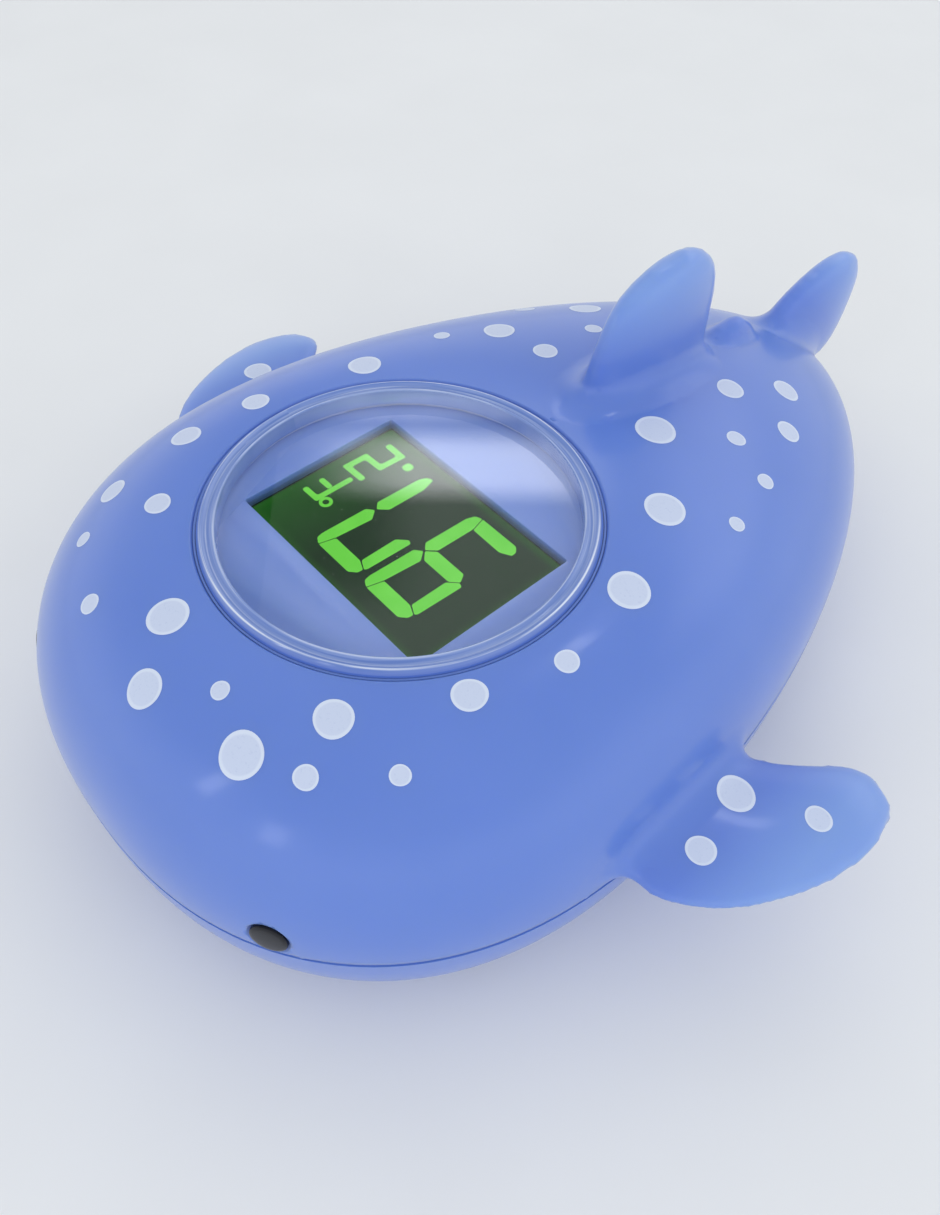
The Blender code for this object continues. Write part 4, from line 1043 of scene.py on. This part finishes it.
def rim_plastic():
    """The lens's thick rim, opaque, with the light that clear plastic gathers in streaks round the ring
    painted into its colour, with painted highlight lines and a painted shade at its outer edge.
    """
    n = Nodes("rim_plastic")
    x, y, _, away = about_lens(n)
    band = n.math('MULTIPLY', away, 2.2 / MM)
    around = n.fill(n.add("ShaderNodeCombineXYZ"), n.math('ARCTAN2', y, x), band).outputs[0]
    streaks = n.fill(n.add("ShaderNodeTexNoise"), Scale=1.6, Detail=4.0, Vector=around).outputs["Fac"]
    # Painted refraction: paler and darker streaks round the ring stand in for light bent through clear
    # plastic.
    color = n.mix(n.spread(streaks, 0.38, 0.66, 0, 1), (0.13, 0.225, 0.57), (0.25, 0.35, 0.68))
    # Painted shade: a darker band at the rim's outer edge.
    outer = n.spread(away, (LENS_RADIUS - 0.55) * MM, (LENS_RADIUS - 0.2) * MM, 0, 1)
    color = n.mix(outer, color, (0.10, 0.19, 0.58))
    # Painted highlights: bright lines round the ring at the listed radii.
    for radius, half, share in RIM_HIGHLIGHT_LINES:
        off = n.math('ABSOLUTE', n.math('SUBTRACT', away, radius * MM))
        line = n.spread(off, 0.3 * half * MM, half * MM, share, 0)
        line = n.math('MULTIPLY', line, n.spread(streaks, 0.42, 0.58, 0.15, 1))
        color = n.mix(line, color, (0.72, 0.79, 0.93))
    n.set(Base_Color=color, Roughness=n.spread(n.noise(2.0), 0.3, 0.7, 0.06, 0.12), IOR=ACRYLIC_IOR,
          Coat_Weight=0.6, Coat_Roughness=0.03, Coat_IOR=1.5)
    n.bump(streaks, 0.12, 0.05)
    return n.material


def clear_plastic():
    """Polished acrylic that lets lamps through to what it covers."""
    n = Nodes("clear_acrylic")
    n.set(Base_Color=(0.97, 0.98, 1.0), Transmission_Weight=1.0, IOR=CLEAR_IOR, Roughness=0.0,
          Coat_Weight=1.0, Coat_IOR=ACRYLIC_IOR,
          Coat_Roughness=n.spread(n.noise(6, 4.0, 0.7), 0.55, 0.75, 0.015, 0.03))
    clear = n.fill(n.add("ShaderNodeBsdfTransparent"), (1.0, 1.0, 1.0))
    path = n.add("ShaderNodeLightPath").outputs
    straight = n.math('MAXIMUM', path["Is Shadow Ray"], path["Is Diffuse Ray"])
    mix = n.fill(n.add("ShaderNodeMixShader"), straight, n.shader.outputs["BSDF"], clear.outputs["BSDF"])
    n.fill(n.tree.nodes["Material Output"], mix.outputs["Shader"])
    return n.material


def display_finish():
    """A dark reverse display with its backlight's glow, greener towards its edges and brighter towards one
    end, where the glow also paints a haze of reflected light; with a little dust.
    """
    n = Nodes("display_face")
    x, y, _ = n.parts(n.place)

    def nearness(socket, middle, half):
        """0 in the middle and 1 at the window's edge, along one axis."""
        away = n.math('ABSOLUTE', n.math('SUBTRACT', socket, middle * MM))
        return n.spread(away, (half - 1.3) * MM, half * MM, 0, 1)
    edge = n.math('MAXIMUM', nearness(x, 0, WINDOW_SIZE[0] / 2), nearness(y, LENS_Y, WINDOW_SIZE[1] / 2))
    # Backlight glow, brighter towards one end, where it also stands in for a painted haze of reflected light.
    backlight_and_haze_glow = n.mix(n.spread(x, -0.016, -0.004, 1, 0), (0.005, 0.024, 0.007), (0.008, 0.085, 0.005))
    backlight_and_haze_glow = n.mix(n.spread(edge, 0, 1, 0, 0.6), backlight_and_haze_glow, (0.02, 0.12, 0.012))
    dust = n.spread(n.noise(0.22, 1.0), 0.80, 0.82, 0, 1)
    color = n.mix(dust, (0.004, 0.009, 0.005), (0.5, 0.55, 0.5))
    n.set(Base_Color=color, Emission_Color=backlight_and_haze_glow, Emission_Strength=1.0, Roughness=0.3,
          Specular_IOR_Level=0.0)
    return n.material


def digit_finish():
    """Lit green segments."""
    n = Nodes("lit_segments")
    tone = n.mix(n.spread(n.noise(4.0, 2.0), 0.4, 0.6, 0, 1), (0.13, 0.58, 0.05), (0.15, 0.62, 0.06))
    n.set(Base_Color=(0.02, 0.1, 0.01), Emission_Color=tone, Emission_Strength=1.0, Roughness=0.4,
          Specular_IOR_Level=0.0)
    return n.material


def board_finish():
    """Green solder mask with faint copper tracks under it."""
    n = plain_finish("solder_mask", (0.02, 0.17, 0.06), 0.35, grain=0.4)
    tracks = n.fill(n.add("ShaderNodeTexBrick"), n.place, (0.02, 0.17, 0.06), (0.018, 0.15, 0.055),
                    (0.07, 0.3, 0.1), Scale=260.0, Mortar_Size=0.04)
    n.set(Base_Color=tracks.outputs["Color"])
    return n.material


PLAIN_FINISHES = dict(
    display_glass=("panel_glass", (0.02, 0.045, 0.03), 0.12, dict(grain=2.0, bump=0.02)),
    diffuser=("milky_diffuser", (0.82, 0.88, 0.82), 0.45, dict(grain=0.6, variation=0.04)),
    white_plastic=("white_plastic", (0.78, 0.78, 0.76), 0.45, dict(variation=0.05)),
    grey_rubber=("silicone_rubber", (0.34, 0.42, 0.66), 0.6, dict(grain=0.3, bump=0.3)),
    black_resin=("black_resin", (0.015, 0.015, 0.018), 0.3, dict(grain=0.8, bump=0.3)),
    led_body=("led_case", (0.55, 0.85, 0.3), 0.25, dict(grain=0.4)),
    stainless=("stainless_steel", (0.62, 0.62, 0.64), 0.26,
               dict(metallic=1.0, grain=0.25, variation=0.06, bump=0.2, stretch=(1, 1, 0.12))),
    contact_brass=("nickelled_brass", (0.66, 0.60, 0.42), 0.3,
                   dict(metallic=1.0, grain=0.3, variation=0.08, bump=0.2, stretch=(1, 1, 0.2))),
    red_insulation=("red_insulation", (0.55, 0.02, 0.02), 0.4, dict(grain=0.4)),
    eye_black=("eye_black", (0.006, 0.007, 0.012), 0.12, dict(grain=1.0, bump=0.02)))


def finishes():
    """The material for each of the record's slots."""
    looks = {slot: plain_finish(name, color, roughness, **settings)
             for slot, (name, color, roughness, settings) in PLAIN_FINISHES.items()}
    looks["eye_black"].set(Specular_IOR_Level=0.3)
    looks = {slot: n.material for slot, n in looks.items()}
    looks.update(body_blue=blue_plastic(False), clear_lens=clear_plastic(), board_green=board_finish())
    return looks


def direction_of(azimuth, elevation):
    """A unit vector, with the azimuth counted from the nose towards the float's left side."""
    a, e = radians(azimuth), radians(elevation)
    return Vector((sin(a) * cos(e), -cos(a) * cos(e), sin(e)))


def make_camera():
    """The camera at the photograph's angle, close over the lens ring."""
    azimuth, roll = radians(CAMERA_AZIMUTH), radians(CAMERA_ROLL)
    back = direction_of(CAMERA_AZIMUTH, CAMERA_ELEVATION)
    level = Vector((cos(azimuth), sin(azimuth), 0))
    upright = back.cross(level)
    right = level * cos(roll) - upright * sin(roll)
    up = level * sin(roll) + upright * cos(roll)
    place = Vector((0, LENS_Y, RING_Z)) + back * CAMERA_DISTANCE + right * CAMERA_RIGHT + up * CAMERA_UP
    data = bpy.data.cameras.new("camera")
    data.sensor_width = CAMERA_SENSOR
    data.lens = CAMERA_LENS
    data.clip_start = 0.005
    camera = bpy.data.objects.new("camera", data)
    bpy.context.collection.objects.link(camera)
    camera.matrix_world = Matrix.Translation(place * MM) @ Matrix((right, up, back)).transposed().to_4x4()
    bpy.context.scene.camera = camera


def area_light(name, direction, distance, size, power):
    """A soft square light that faces the lens ring from a direction, unseen in reflections."""
    data = bpy.data.lights.new(name, 'AREA')
    data.shape = 'SQUARE'
    data.size = size
    data.energy = power
    light = bpy.data.objects.new(name, data)
    bpy.context.collection.objects.link(light)
    target = Vector((0, LENS_Y, RING_Z)) * MM
    direction = Vector(direction).normalized()
    light.visible_glossy = False
    light.location = target + direction * distance
    light.rotation_mode = 'QUATERNION'
    light.rotation_quaternion = direction.to_track_quat('Z', 'Y')


def make_world():
    """Even soft light; glossy surfaces see a darker ceiling, a bright horizon and soft windows."""
    world = bpy.data.worlds.new("soft_world")
    world.use_nodes = True
    g = Graph(world.node_tree)

    def fade(value, low, high, to_low, to_high):
        return g.spread(value, low, high, to_low, to_high, interpolation_type='SMOOTHSTEP')
    direction = g.add("ShaderNodeTexCoord").outputs["Generated"]
    height = g.parts(direction)["Z"]
    level = fade(height, sin(radians(12)), sin(radians(42)), SKY_HORIZON, SKY_ZENITH)
    for azimuth, elevation, half_width, half_height, strength in SKY_WINDOWS:
        middle = direction_of(azimuth, elevation)
        sideways = Vector((0, 0, 1)).cross(middle).normalized()
        upward = middle.cross(sideways)
        patch = g.math('GREATER_THAN', g.vector('DOT_PRODUCT', direction, middle)["Value"], 0.0)
        for axis, half in ((sideways, half_width), (upward, half_height)):
            away = g.math('ABSOLUTE', g.vector('DOT_PRODUCT', direction, axis)["Value"])
            reach = sin(radians(half))
            share = fade(away, reach * (1 - SKY_SOFTNESS), reach * (1 + SKY_SOFTNESS), 1.0, 0.0)
            patch = g.math('MULTIPLY', patch, share)
        level = g.math('ADD', level, g.math('MULTIPLY', patch, strength))
    even = g.fill(g.tree.nodes["Background"], SKY_COLOR, SKY_STRENGTH)
    seen = g.fill(g.add("ShaderNodeBackground"), SKY_COLOR, level)
    path = g.add("ShaderNodeLightPath").outputs
    glossy = g.math('MAXIMUM', path["Is Glossy Ray"], path["Is Transmission Ray"])
    mix = g.fill(g.add("ShaderNodeMixShader"), glossy, even.outputs[0], seen.outputs[0])
    g.fill(g.tree.nodes["World Output"], mix.outputs[0])
    bpy.context.scene.world = world


def make_stage():
    """A plain pale floor and soft light."""
    corners = [(x * FLOOR_REACH, y * FLOOR_REACH, 0) for x, y in ((-1, -1), (1, -1), (1, 1), (-1, 1))]
    floor = object_from("floor", corners, [[0, 1, 2, 3]])
    n = plain_finish("pale_floor", (0.825, 0.84, 0.855), 0.8, grain=3.0, variation=0.01, bump=0.02)
    floor.data.materials.append(n.material)
    make_world()
    area_light("key_light", (-0.45, 0.55, 0.80), 0.60, 0.40, 0.2)
    area_light("front_light", (0.45, -0.75, 0.50), 0.70, 0.50, 0.85)
    area_light("side_light", (0.85, 0.45, 0.45), 0.70, 0.50, 0.5)


def main():
    looks = finishes()
    for entry in frame["record"]["subparts"]:
        node = frame["nodes"][entry["node"]]
        for slot in node.material_slots:
            slot.material = looks[entry["material_slot"]]
    skin = make_upper_skin()
    finished(skin, "root", blue_plastic(True), replaces=["upper_shell"])
    finished(make_spots(skin), "root", white_print())
    for side, node in ((1, "eye_left"), (-1, "eye_right")):
        finished(make_eye(side), "root", looks["eye_black"], replaces=[node])
    finished(make_lower_skin(), "root", looks["body_blue"], replaces=["lower_shell"])
    finished(make_disc(), "root", looks["clear_lens"], crease=50, replaces=["lens"])
    finished(make_rim(), "root", rim_plastic(), crease=60, replaces=["lens"])
    # Painted light: body blue put into the slit round the lens, where there would be shade.
    finished(make_gap_ring(), "root", looks["body_blue"])
    levels = [(PANEL_TOP_Z + FACE_GAP, 0.0), (PANEL_TOP_Z + FACE_THICKNESS - FACE_GAP, 0.0)]
    face = loft("display_face", window_rings(WINDOW_GROWTH - WINDOW_INSET - FACE_INSET, levels))
    finished(face, "root", display_finish())
    finished(make_digits(), "root", digit_finish())
    make_camera()
    make_stage()
    bpy.context.scene.view_settings.view_transform = 'Standard'


main()
